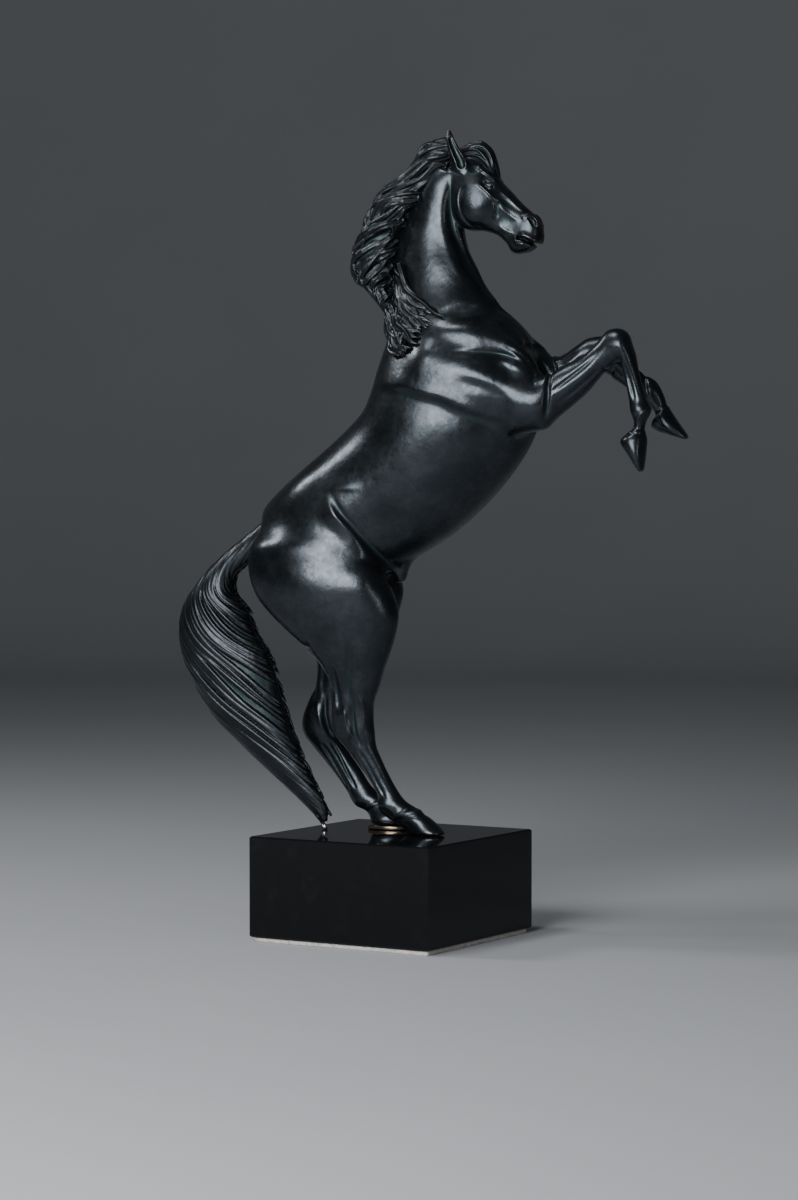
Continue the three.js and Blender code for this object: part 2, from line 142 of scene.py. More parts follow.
HEAD_RIBS = [
    [42, 586, 48, 604, 0, 9],
    [45, 571, 64, 604, 0, 13.5],
    [49, 556, 77, 595, 0, 16.5],
    [59, 548, 86, 584, 0, 16],
    [71, 547, 93, 577, 0, 13],
    [82, 543.5, 100, 569.5, 0, 10.5],
    [89, 538, 107, 563, 0, 9.5],
    [94, 532, 113, 557.5, 0, 10],
    [100, 529.5, 118, 550, 0, 10],
    [107, 530.5, 119, 541, 0, 8],
    [111, 533, 116.5, 537, 0, 4],
]
RIGHT_EAR_RIBS = [
    [47, 595, 64, 588, -9, 5],
    [46, 604, 63, 597, -9.5, 6],
    [44.5, 612, 58, 605, -10, 5.5],
    [43.5, 619, 52, 614, -10, 3.5],
    [45, 625, 47, 624.5, -10, 0.9],
]
LEFT_EAR_RIBS = [
    [44, 596, 59, 588, 9, 4.5],
    [46, 604, 61, 595, 9.5, 5.5],
    [50, 610, 62, 600, 10, 5],
    [56, 612, 61, 607, 10.5, 3],
    [60, 613, 61, 612, 11, 0.7],
]
FORELOCK_RIBS = [
    [50, 600, 50, 609, 0, 6],
    [58, 598, 60, 613, 0, 8],
    [66, 596, 70, 613.5, 0, 9],
    [71, 592, 77.5, 606.5, 0, 9],
    [74, 588, 81.5, 596, 0, 8],
    [77, 585, 84, 587, 0, 5],
]
MANE_RIBS = [
    [38, 621, 50, 604, 0, 6],
    [23, 613, 38, 594, -1, 9],
    [8, 593, 27, 578, -1, 11],
    [-12, 579, 17, 567, -2, 13],
    [-20, 566, 10, 555, -2, 14],
    [-28, 550, 5, 541, -2, 14.5],
    [-35, 532, 2, 526, -3, 15],
    [-33, 514, 3, 508, -4, 16],
    [-19, 501, 12, 495, -6, 18],
    [-7, 488, 20, 482, -10, 20],
    [2, 475, 26, 470, -17, 17],
    [10, 463, 24, 459, -26, 12],
    [17, 452, 21, 451, -32, 7],
]
TAIL_RIBS = [
    [-104, 332, -100, 312, 0, 7],
    [-117, 320, -112, 302, 0, 8],
    [-133, 307, -128, 289, 0, 8.5],
    [-149, 294, -139, 279, 0, 10],
    [-167, 276, -138, 264, 0, 14],
    [-181, 256, -126, 252, 0, 17],
    [-185, 232, -119, 234, 0, 19],
    [-177, 204, -106, 215, -1, 19],
    [-158, 173, -97, 188, -2, 18],
    [-132, 149, -88, 161, -4, 15],
    [-105, 127, -77, 137, -6, 11.5],
    [-83, 109, -66, 117, -8, 8],
    [-68.5, 96, -57, 101, -9, 5],
    [-60, 88, -56, 89, -9.5, 2.2],
]
RIGHT_FORELEG_RIBS = [
    [80, 396, 90, 424, -18, 9],
    [96, 391, 104, 430, -21, 13],
    [108, 390, 116, 432, -23, 15],
    [127, 395, 136, 439, -22, 14],
    [138, 403, 142, 443, -21, 12.5],
    [159, 420, 157, 450, -20, 10.5],
    [171, 433, 169, 460, -20, 9],
    [181, 443, 178, 469, -20, 9.5],
    [188, 445, 190, 468, -20, 10],
    [188, 442, 198, 453, -20, 9],
    [190, 435, 201, 440, -20, 6.5],
    [192, 425, 204, 428, -20, 5.5],
    [194, 415, 208, 416, -20, 6],
    [195, 408, 211, 408, -20, 7.5],
    [198, 399, 207, 399, -20, 5.5],
    [196, 393, 206, 392, -20, 5.5],
    [187, 385, 208, 387, -20, 9.5],
    [195, 372, 207, 376, -20, 10],
    [202, 361, 205, 362, -20, 6],
]
LEFT_FORELEG_RIBS = [
    [72, 404, 82, 440, 18, 10],
    [88, 400, 96, 454, 22, 14],
    [100, 402, 108, 458, 25, 16],
    [116, 410, 120, 450, 23, 15],
    [131, 423, 130, 453, 21, 12],
    [142, 434, 141, 460, 20, 10.5],
    [152, 439, 150, 465, 20, 9],
    [162, 438, 163, 465, 20, 10],
    [169, 433, 177, 456, 20, 9],
    [177, 428, 186, 443, 20, 6],
    [186, 421, 195, 436, 20, 5.5],
    [194, 415, 203, 431, 20, 7.5],
    [201, 409, 209, 421, 20, 6],
    [203, 402, 212, 412, 20, 5.5],
    [199, 396, 214, 410, 20, 9.5],
    [211, 390.5, 220, 401, 20, 10],
    [227, 386, 229, 388.5, 20, 6],
]
RIGHT_HIND_LEG_RIBS = [
    [-98, 326, -40, 338, -15, 12],
    [-113, 305, -18, 313, -24, 26],
    [-114, 285, -8, 291, -27, 27],
    [-107, 266, 5, 272, -29, 26],
    [-94, 250, 11, 255, -29, 23],
    [-78, 235, 9, 239, -28, 20],
    [-60, 219, 4, 224, -26, 17.5],
    [-50, 205, -2, 210, -24, 15],
    [-46, 192, -7, 196, -22, 13],
    [-47, 179, -12, 183, -21, 11.5],
    [-46, 167, -13, 171, -20, 11],
    [-44, 157, -12, 160, -20, 10.5],
    [-36, 147, -11, 149, -19, 8.5],
    [-27, 136, -6, 138, -19, 7],
    [-18, 123, 0, 126, -18.5, 6.5],
    [-10, 110, 7, 114, -18, 7],
    [-9, 101, 13, 107, -18, 8.5],
    [-2, 94, 20, 103, -18, 8],
    [8, 88, 28, 99, -16, 10, -5],
    [12, 85, 39, 91, -14, 12, -7],
    [14, 82.2, 49, 82.2, -14, 13, -9],
]
LEFT_HIND_LEG_RIBS = [
    [-98, 326, -42, 336, 15, 12],
    [-114, 305, -24, 311, 24, 26],
    [-114, 285, -16, 290, 27, 27],
    [-110, 266, -8, 271, 29, 26],
    [-105, 250, -10, 254, 28, 23],
    [-97, 236, -15, 239, 26, 20],
    [-86, 221, -24, 225, 23, 17.5],
    [-76, 208, -34, 212, 20, 15],
    [-78, 192, -39, 197, 18, 13],
    [-83, 178, -45, 183, 17, 11.5],
    [-87, 165, -49, 171, 16, 11],
    [-86, 154, -52, 160, 16, 10.5],
    [-77, 143, -54, 151, 16, 8.5],
    [-67, 132, -48, 141, 16, 7],
    [-56, 119, -38, 128, 16, 6.5],
    [-47, 107, -30, 116, 16, 7],
    [-42, 99, -22, 109, 16, 8.5],
    [-33, 95, -13, 104, 16, 8],
    [-29, 91, -6, 102, 14, 10, 4],
    [-27, 88, 3, 95, 12, 12, 6],
    [-26, 85.5, 11, 85.5, 12, 13, 8],
]
SHEATH_RIBS = [
    [-2, 296, 14, 300, 0, 7],
    [-3, 284, 9, 287, 0, 6.5],
    [-2, 275, 6, 277, 0, 5],
]


# ---------------------------------------------------------------- curves and lofts


def curve(points, steps):
    """A smooth curve through points, with so many steps in each span."""
    p = np.asarray(points, float)
    p = np.vstack([2 * p[0] - p[1], p, 2 * p[-1] - p[-2]])
    t = np.linspace(0, 1, steps, endpoint=False)[:, None]
    spans = []
    for a, b, c, d in zip(p, p[1:], p[2:], p[3:]):
        square = (2 * a - 5 * b + 4 * c - d) * t**2
        cube = (3 * b - a - 3 * c + d) * t**3
        spans.append((2 * b + (c - a) * t + square + cube) / 2)
    return np.vstack([*spans, p[-2:-1]])


def shifted(route, x, z):
    """A route seen from the side, moved forwards by x and up by z."""
    return [(place[0] + x, place[1] + z) for place in route]


def on_side(points, side):
    """Points on one side of the horse, y being how far out they lie."""
    return [(x, side * y, z) for x, y, z in points]


def rails(ribs, steps=8):
    """The rear line, the front line and the half width along a row of ribs."""
    rows = [[rx, y, rz, fx, y + sum(aside), fz, w] for rx, rz, fx, fz, y, w, *aside in ribs]
    fine = curve(rows, steps)
    return fine[:, 0:3], fine[:, 3:6], fine[:, 6]


def rounded(value, power):
    """Turns an ellipse into a squarer oval: 2 leaves it round."""
    return np.sign(value) * np.abs(value) ** (2 / power)


def loft(ribs, power=2.0, sides=72, grow=0.0):
    """A closed body over ribs, as points and triangles."""
    rear, front, width = rails(ribs)
    middle = (rear + front) / 2
    along = (front - rear) / 2
    length = np.linalg.norm(along, axis=1, keepdims=True)
    along = along * np.maximum(length + grow, 0.2) / length
    angle = np.linspace(0, 2 * np.pi, sides, endpoint=False)
    points = middle[:, None] + along[:, None] * rounded(np.cos(angle), power)[None, :, None]
    points[..., 1] += np.maximum(width + grow, 0.2)[:, None] * rounded(np.sin(angle), power)
    rings = len(points)
    last = rings * sides
    i, j = np.meshgrid(np.arange(rings - 1), np.arange(sides), indexing="ij")
    a = (i * sides + j).ravel()
    b = (i * sides + (j + 1) % sides).ravel()
    walls = [np.stack([a, b, b + sides], 1), np.stack([a, b + sides, a + sides], 1)]
    j = np.arange(sides)
    k = (j + 1) % sides
    start = np.stack([k, j, np.full(sides, last)], 1)
    end = np.stack([last - sides + j, last - sides + k, np.full(sides, last + 1)], 1)
    points = np.vstack([points.reshape(-1, 3), middle[:1], middle[-1:]])
    return points, np.vstack([*walls, start, end])


# ---------------------------------------------------------------- fields


def smooth_min(a, b, blend):
    """The lower of two distances, rounded where they meet over a width of blend."""
    near = (a < FAR) & (b < FAR)
    mixed = np.where(near, np.maximum(blend - np.abs(a - b), 0) / blend, 0)
    return np.minimum(a, b) - mixed * mixed * (blend / 4)


def smooth_step(low, high, value):
    t = np.clip((value - low) / (high - low), 0, 1)
    return t * t * (3 - 2 * t)


def trilinear(values, at):
    """Values between grid points, at fractional indices."""
    base = np.clip(np.floor(at).astype(int), 0, np.array(values.shape) - 2)
    part = np.clip(at - base, 0, 1)
    total = 0
    for corner in np.ndindex(2, 2, 2):
        weight = np.abs(1 - np.array(corner) - part).prod(1)
        total = total + weight * values[tuple((base + corner).T)]
    return total


def read_along(values, places, axis):
    """Values at fractional places along one axis, by smooth interpolation."""
    last = values.shape[axis] - 1
    base = np.clip(np.floor(places + 1e-4).astype(int), 0, last - 1)
    t = places - base
    if np.abs(t).max() < 1e-3:
        return np.take(values, base, axis=axis)
    weights = (
        (-t + 2 * t**2 - t**3) / 2,
        (2 - 5 * t**2 + 3 * t**3) / 2,
        (t + 4 * t**2 - 3 * t**3) / 2,
        (t**3 - t**2) / 2,
    )
    shape = [1, 1, 1]
    shape[axis] = -1
    total = np.float32(0)
    for n, weight in enumerate(weights):
        taken = np.take(values, np.clip(base + n - 1, 0, last), axis=axis)
        total = total + weight.astype(np.float32).reshape(shape) * taken
    return total


class Body:
    """A closed loft and the distance to it, worked out once on a grid of its own."""

    def __init__(self, ribs, step, power=2.0, grow=0.0):
        points, triangles = loft(ribs, power=power, grow=grow)
        self.step = step
        self.low = points.min(0) - FAR
        self.high = points.max(0) + FAR
        self.first = np.floor(self.low / step).astype(int)
        grid = vdb.FloatGrid.createLevelSetFromPolygons(
            points.astype(np.float32),
            triangles=triangles.astype(np.uint32),
            transform=vdb.createLinearTransform(voxelSize=step),
            halfWidth=FAR / step,
        )
        self.values = np.empty(np.ceil(self.high / step).astype(int) - self.first + 1, np.float32)
        grid.copyToArray(self.values, ijk=tuple(int(n) for n in self.first))

    def along(self, axes):
        """The distances at the crossings of three lists of coordinates."""
        result = self.values
        for n, axis in enumerate(axes):
            result = read_along(result, axis.astype(float) / self.step - self.first[n], n)
        return result


class Field:
    """The distance to the metal's skin over a box, in mm, negative inside."""

    def __init__(self, low, high, step):
        self.step = step
        self.first = np.floor(np.array(low) / step).astype(int)
        count = np.ceil(np.array(high) / step).astype(int) - self.first + 1
        self.values = np.full(count, FAR, np.float32)

    def part(self, low, high):
        """The slices between two corners and the coordinates there, or None outside the box."""
        size = np.array(self.values.shape)
        a = np.clip(np.floor(np.array(low) / self.step).astype(int) - self.first, 0, size)
        b = np.clip(np.ceil(np.array(high) / self.step).astype(int) - self.first + 1, 0, size)
        if (b - a < 2).any():
            return None
        axes = [((self.first[n] + np.arange(a[n], b[n])) * self.step).astype(np.float32) for n in range(3)]
        place = tuple(slice(i, j) for i, j in zip(a, b))
        return place, np.meshgrid(*axes, indexing="ij", sparse=True)

    def join(self, body, blend):
        """Adds a body, rounding the corner where it meets the rest."""
        found = self.part(body.low, body.high)
        if found is None:
            return
        place, axes = found
        distance = body.along([axis.ravel() for axis in axes])
        self.values[place] = smooth_min(self.values[place], distance, blend)

    def swell(self, centre, radii, height, tilt=0.0):
        """Raises the skin round a point, or sinks it. The radii lie forwards, aside and up,
        turned by tilt degrees from forwards towards up."""
        reach = 2.5 * max(radii)
        found = self.part(np.subtract(centre, reach), np.add(centre, reach))
        if found is None:
            return
        place, (x, y, z) = found
        c, s = math.cos(math.radians(tilt)), math.sin(math.radians(tilt))
        dx, dz = x - centre[0], z - centre[2]
        u = (c * dx + s * dz) / radii[0]
        w = (c * dz - s * dx) / radii[2]
        v = (y - centre[1]) / radii[1]
        self.values[place] -= height * np.exp(-(u * u + v * v + w * w))

    def stroke(self, route, height, left, right, side=0, middle=0.0, taper=0.2):
        """Raises a ridge along a route seen from the side, or cuts a groove. left and right are
        the widths on each side of it, and side is -1 or 1 for one side of the middle."""
        line = curve(route, 5)
        reach = 2.5 * max(left, right)
        low = (line[:, 0].min() - reach, -FAR * 10, line[:, 1].min() - reach)
        high = (line[:, 0].max() + reach, FAR * 10, line[:, 1].max() + reach)
        found = self.part(low, high)
        if found is None:
            return
        place, (x, y, z) = found
        best = np.full(np.broadcast_shapes(x.shape, z.shape), 1e9, np.float32)
        sign = np.ones_like(best)
        along = np.zeros_like(best)
        for n, (a, b) in enumerate(zip(line, line[1:])):
            d = b - a
            t = np.clip(((x - a[0]) * d[0] + (z - a[1]) * d[1]) / (d @ d), 0, 1)
            square = (x - a[0] - t * d[0]) ** 2 + (z - a[1] - t * d[1]) ** 2
            nearer = square < best
            best = np.where(nearer, square, best)
            sign = np.where(nearer, np.sign(d[0] * (z - a[1]) - d[1] * (x - a[0])), sign)
            along = np.where(nearer, (n + t) / (len(line) - 1), along)
        width = np.where(sign > 0, left, right)
        fade = smooth_step(0, taper, along) * smooth_step(0, taper, 1 - along)
        raised = height * fade * np.exp(-best / width**2)
        if side:
            raised = raised * smooth_step(-2, 4, side * (y - middle))
        self.values[place] -= raised

    def strokes(self, side, middle, rows, shift=(0, 0)):
        """Strokes on one side. A row is a height, left, right, taper and then the route."""
        for height, left, right, taper, *route in rows:
            self.stroke(shifted(route, *shift), height, left, right, side, middle, taper)

    def rod(self, a, b, start, end, reach):
        """The part of the grid near a rod from a to b, with a radius at each end, and the distance
        to the rod there. None outside the box."""
        found = self.part(np.minimum(a, b) - reach, np.maximum(a, b) + reach)
        if found is None:
            return None
        place, (x, y, z) = found
        d = b - a
        x, y, z = x - a[0], y - a[1], z - a[2]
        t = np.clip((x * d[0] + y * d[1] + z * d[2]) / max(d @ d, 1e-9), 0, 1)
        gap = np.sqrt((x - t * d[0]) ** 2 + (y - t * d[1]) ** 2 + (z - t * d[2]) ** 2)
        return place, gap - (start + t * (end - start))

    def strand(self, points, radii, blend, cut=False):
        """Adds a round strand along points, or cuts a channel of its shape."""
        points = np.asarray(points, float)
        radii = np.broadcast_to(np.asarray(radii, float), len(points))
        reach = radii.max() + 3 * self.step + blend
        found = self.part(points.min(0) - reach, points.max(0) + reach)
        if found is None:
            return
        place, _ = found
        start = np.array([p.start for p in place])
        distance = np.full(self.values[place].shape, FAR, np.float32)
        for ends in zip(points, points[1:], radii, radii[1:]):
            local = self.rod(*ends, reach)
            if local is None:
                continue
            inner, gap = local
            inner = tuple(slice(s.start - o, s.stop - o) for s, o in zip(inner, start))
            distance[inner] = np.minimum(distance[inner], gap)
        target = self.values[place]
        if cut:
            self.values[place] = -smooth_min(-target, distance, blend)
        else:
            self.values[place] = smooth_min(target, distance, blend)

    def hair(self, points, radii):
        """Adds a strand that meets its neighbours in a sharp valley."""
        points = np.asarray(points, np.float32)
        radii = np.broadcast_to(np.asarray(radii, np.float32), len(points))
        for a, b, start, end in zip(points, points[1:], radii, radii[1:]):
            found = self.rod(a, b, start, end, max(start, end) + 2.5 * self.step)
            if found is not None:
                place, gap = found
                self.values[place] = np.minimum(self.values[place], gap)

    def flatten(self, point, normal, low, high):
        """Cuts everything beyond a plane off, between two corners."""
        found = self.part(low, high)
        if found is None:
            return
        place, (x, y, z) = found
        n = np.array(normal, float) / np.linalg.norm(normal)
        plane = (x - point[0]) * n[0] + (y - point[1]) * n[1] + (z - point[2]) * n[2]
        self.values[place] = np.maximum(self.values[place], plane)

    def blurred(self, width, limit=FAR):
        """The distances, no more than a limit either way, averaged over a width in mm."""
        reach = max(1, math.ceil(2 * width / self.step))
        weights = np.exp(-0.5 * (np.arange(-reach, reach + 1) * self.step / width) ** 2)
        weights /= weights.sum()
        result = np.clip(self.values, -limit, limit)
        for axis in range(3):
            padding = [(0, 0)] * 3
            padding[axis] = (reach, reach)
            padded = np.pad(result, padding, mode="edge")
            total = np.zeros_like(result)
            for n, weight in enumerate(weights):
                window = [slice(None)] * 3
                window[axis] = slice(n, n + result.shape[axis])
                total += np.float32(weight) * padded[tuple(window)]
            result = total
        return result

    def soften(self, width):
        self.values = self.blurred(width)

    def at(self, points, values=None):
        return trilinear(self.values if values is None else values, points / self.step - self.first)

    def normals(self, points):
        """The skin's outward direction at points."""
        reach = 0.7 * self.step
        slopes = []
        for axis in np.eye(3):
            slopes.append(self.at(points + reach * axis) - self.at(points - reach * axis))
        slope = np.stack(slopes, 1)
        return slope / np.maximum(np.linalg.norm(slope, axis=1, keepdims=True), 1e-9)

    def surface(self):
        """Points and quads of the skin, facing outwards."""
        grid = vdb.FloatGrid()
        grid.transform = vdb.createLinearTransform(voxelSize=self.step)
        grid.copyFromArray(self.values, ijk=tuple(int(n) for n in self.first), tolerance=0.0)
        points, _, quads = grid.convertToPolygons(isovalue=0.0, adaptivity=0.0)
        a, b, c = (points[quads[:, n]] for n in (0, 1, 2))
        outwards = np.einsum("ij,ij->i", np.cross(b - a, c - a), self.normals((a + c) / 2)).sum() > 0
        return points, quads if outwards else quads[:, ::-1]


# ---------------------------------------------------------------- the horse's form

BOTH = (-1, 1)
TORSO = Body(TORSO_RIBS, BODY_STEP)
NECK = Body(NECK_RIBS, NECK_STEP)
SHEATH = Body(SHEATH_RIBS, BODY_STEP)
HEAD = Body(HEAD_RIBS, HEAD_STEP, power=2.3)
EARS = [Body(ribs, HEAD_STEP) for ribs in (RIGHT_EAR_RIBS, LEFT_EAR_RIBS)]
HIND_LEGS = [Body(ribs, LEG_STEP) for ribs in (RIGHT_HIND_LEG_RIBS, LEFT_HIND_LEG_RIBS)]
FORELEGS = [Body(ribs, LEG_STEP) for ribs in (RIGHT_FORELEG_RIBS, LEFT_FORELEG_RIBS)]


def trunk_form(field):
    """The torso, neck and legs before their muscles are cut."""
    field.join(TORSO, 0.1)
    field.join(NECK, 10)
    for leg in HIND_LEGS:
        field.join(leg, 10)
    field.join(SHEATH, 5)
    for leg in FORELEGS:
        field.join(leg, 9)
    for side in BOTH:
        elbow = 120 if side < 0 else 104
        triceps = curve(on_side([(40, 26, 446), (72, 26, 436), (98, 25, 424), (elbow, 23, 413)], side), 4)
        field.strand(triceps, np.linspace(17, 13.5, len(triceps)), 9)
        point = curve(on_side([(84, 16, 466), (102, 19, 452), (111, 20, 438), (113, 20, 424)], side), 4)
        field.strand(point, np.linspace(9, 11.5, len(point)), 9)
    field.soften(1.2)


def shoulder(field, side):
    """The shoulder blade's lower edge, and the folds above the foreleg."""
    edge = [(-10, 432), (8, 430), (23, 428), (36, 424), (52, 420), (68, 413), (84, 408)]
    edge += [(100, 403), (114, 396)]
    field.strokes(side, 0, (
        (3.0, 20, 5.5, 0.3, *edge),
        (-1.2, 4, 10, 0.3, *shifted(edge, 2, -7)),
        (-1.3, 1.5, 2.2, 0.4, (52, 453), (70, 453), (85, 453), (99, 451), (111, 446), (122, 440)),
        (0.6, 2.5, 3, 0.4, (60, 448), (80, 448), (96, 446), (110, 440), (119, 433)),
        (-1.3, 1.4, 1.7, 0.35, (88, 468), (100, 463), (112, 456), (121, 448), (127, 439), (130, 428)),
        (0.8, 2.2, 1.6, 0.35, (93, 474), (108, 465), (119, 455), (128, 441), (131, 430)),
        (-0.8, 1.2, 1.5, 0.35, (95, 459), (106, 453), (115, 446), (121, 436), (124, 424)),
        (-0.9, 4, 5, 0.4, (58, 433), (76, 429), (92, 423), (108, 415)),
    ))
    field.swell((88, side * 36, 462), (26, 12, 9), 1.6, -12)
    field.swell((84, side * 42, 436), (30, 12, 10), 0.8, -12)
    field.stroke([(132, 447), (134, 430), (133, 412), (129, 398)], -2.2, 2.2, 1.6, side, taper=0.3)
    if side < 0:
        field.swell((127, -24, 397), (7, 8, 5), 1.6, -30)


def neck_muscles(field, side):
    """The band round the neck's base, the jugular groove and the hollow below the crest."""
    base = [(26, 482), (46, 480), (62, 482), (78, 485), (94, 487), (112, 481)]
    jugular = [(53, 596), (47, 573), (47, 554), (51, 540), (59, 523), (71, 506), (84, 491)]
    field.swell((54, side * 22, 522), (22, 14, 22), 2.2)
    field.strokes(side, 0, (
        (-3.6, 7, 7, 0.4, *base),
        (-1.7, 2.4, 2.0, 0.3, *jugular),
        (0.7, 4, 4, 0.3, *shifted(jugular, -6, 0)),
        (0.7, 3, 3, 0.3, *shifted(jugular[1:], 7, -2)),
        (-3.6, 16, 12, 0.3, (26, 604), (11, 568), (4, 536), (4, 505), (8, 472)),
    ))


def flank_and_haunch(field, side):
    """The flank's hollow and fold, and the thigh."""
    fold = [(-45, 347), (-35, 330), (-23, 316), (-13, 302), (-4, 289), (5, 276)]
    field.swell((8, side * 44, 322), (24, 16, 19), -3.4, 50)
    field.strokes(side, 0, (
        (2.3, 2.4, 9, 0.25, *fold),
        (-0.9, 2.2, 1.8, 0.3, *shifted(fold, 4.2, 2.2)),
        (0.8, 5, 2.8, 0.4, (-47, 348), (-36, 349.5), (-24, 350), (-10, 350)),
        (-0.8, 7, 5, 0.4, (-96, 322), (-86, 292), (-72, 262), (-60, 240)),
    ))
    field.swell((-10, side * 51, 284), (20, 14, 24), 2.8, 20)
    field.swell((-70, side * 32, 350), (20, 14, 15), 1.8, 45)
    field.swell((-28, side * 46, 262), (20, 12, 14), -1.0)


def back_line(field):
    """The shallow furrow along the croup and loins."""
    rear = curve([(r[0] - 2.2, 0, r[1] + 2.2) for r in TORSO_RIBS[4:9]], 4)
    field.strand(rear, np.linspace(0.4, 2.2, len(rear)), 7, cut=True)


def hind_leg(field, side, shift, middle):
    """Tendons, bones and hoof of one hind leg. shift moves the right leg's places."""
    for face in BOTH:
        bone = 1.4 if face == side else 0.8
        rows = (
            (-1.6, 2.8, 3.4, 0.3, (-22, 240), (-25, 215), (-28, 196), (-27, 178)),
            (-2.6, 3.0, 3.0, 0.3, (-41, 218), (-40, 200), (-38, 186), (-37, 172)),
            (-1.9, 1.9, 2.2, 0.3, (-25, 190), (-26, 172), (-24, 158), (-19, 146)),
            (bone, 2, 2, 0.3, (-34, 182), (-31, 166), (-27, 154)),
            (1.5, 1.9, 2.1, 0.3, (-19, 192), (-17, 176), (-18, 160)),
            (-1.4, 1.4, 1.4, 0.2, (-30, 146), (-22, 133), (-14, 119), (-6, 106)),
            (-1.1, 1.2, 1.2, 0.2, (-24, 149), (-15, 134), (-8, 121), (0, 108)),
        )
        field.strokes(face, middle, rows, shift)
    field.swell((shift[0] - 40, middle, shift[1] + 168), (7, 9, 7), 1.2)
    field.swell((shift[0] - 4, middle, shift[1] + 103), (5, 7, 4), 1.2)
    rows = (
        (0.8, 1.5, 0.9, 0.1, (6, 94), (18, 99), (30, 101)),
        (-0.5, 0.9, 1.2, 0.1, (7, 91.5), (19, 95.5), (33, 97.5)),
    )
    field.strokes(0, 0, rows, shift)


def right_foreleg(field):
    for face in BOTH:
        field.strokes(face, -20, (
            (-1.1, 1.4, 1.6, 0.35, (130, 417), (147, 430), (160, 440), (174, 452)),
            (-0.9, 1.4, 1.4, 0.35, (136, 410), (152, 422), (165, 433), (176, 444)),
            (-0.8, 1.5, 1.5, 0.35, (126, 431), (144, 443), (158, 451), (171, 459)),
            (-0.9, 1.3, 1.3, 0.3, (191, 447), (196, 430), (201, 412)),
            (0.4, 1.2, 1.2, 0.3, (189, 440), (194, 426), (198, 412)),
        ))
        field.swell((186, -20 + face * 9, 456), (6, 4, 6), 0.8)
    field.swell((192, -20, 464), (6, 8, 5), 1.2)
    field.swell((180, -20, 441), (5, 7, 4), 0.8)
    field.swell((203, -20, 407), (6, 7, 4), 0.8)
    field.stroke([(188, 391), (199, 392), (210, 391)], 0.7, 1.2, 1.0, taper=0.05)
    field.flatten((187, 0, 384.5), (-0.83, 0, -0.56), (180, -40, 352), (215, 0, 392))


def left_foreleg(field):
    for face in BOTH:
        field.strokes(face, 20, (
            (-1.0, 1.4, 1.4, 0.3, (118, 428), (130, 437), (142, 446), (153, 453)),
            (-0.7, 1.3, 1.3, 0.3, (120, 441), (132, 447), (145, 455)),
            (-0.9, 1.3, 1.3, 0.3, (170, 446), (180, 435), (192, 424)),
        ))
        field.swell((162, 20 + face * 9, 451), (6, 4, 6), 0.8)
    field.swell((165, 20, 462), (6, 8, 5), 1.2)
    field.swell((199, 20, 423), (5, 7, 5), 0.8)
    field.stroke([(201, 400), (208, 407), (214, 412)], 0.7, 1.2, 1.0, taper=0.05)
    field.flatten((200, 0, 394.5), (-0.3, 0, -0.954), (192, 0, 376), (235, 40, 398))


def skull(field):
    """The head without its ears, and what lies beneath its skin."""
    field.join(HEAD, 2.0)
    for side in BOTH:
        field.swell((70, side * 14, 565), (11, 6, 13), 2.0)
        field.swell((90, side * 8, 570), (9, 4, 3.2), -1.2, -38)
        field.swell((91, side * 9, 555), (8, 4, 4.5), -1.3, -35)
        field.swell((67, side * 11, 594), (3.6, 4, 3.6), -1.5)
        field.strokes(side, 0, (
            (-0.9, 2.0, 1.2, 0.2, (60, 584), (56, 571), (59, 557), (67, 550), (78, 549)),
            (-0.9, 2.4, 1.4, 0.4, (83, 572), (85.5, 563), (82, 553)),
            (1.1, 1.8, 1.3, 0.35, (69, 584), (78, 577), (88, 565)),
            (1.5, 1.7, 1.5, 0.35, (68, 596), (75, 592), (81, 587.5), (86, 582)),
            (0.8, 1.8, 1.8, 0.4, (84, 551), (92, 546), (100, 543)),
            (0.5, 1.2, 1.2, 0.4, (86, 566), (95, 558), (104, 552)),
            (0.7, 1.4, 1.6, 0.3, (84, 581), (93, 572), (102, 564), (110, 560)),
        ))


def eye(field, side):
    """Eyeball between two lids, under the brow."""
    centre = np.array([79.0, side * 11.0, 581.0])
    field.swell(centre + (0, side * 1.5, 0), (4.8, 3, 3.8), -2.4, -30)
    field.strand([centre + (-0.8, side * 0.1, 0.4), centre + (0.8, side * 0.1, -0.4)], 2.8, 0.4)
    upper = [(-4.6, 0.9, 1.2), (-2.4, 2.6, 3.0), (0.8, 2.9, 2.9), (3.6, 1.8, 0.4), (4.8, 0.6, -1.8)]
    lower = [(-4.6, 0.9, 1.2), (-2.6, 2.0, -1.2), (0.4, 2.3, -2.6), (3.0, 1.8, -2.9), (4.8, 0.6, -1.8)]
    for lid, radius in ((upper, 0.8), (lower, 0.45)):
        field.strand(centre + curve(on_side(lid, side), 4), radius, 0.7)


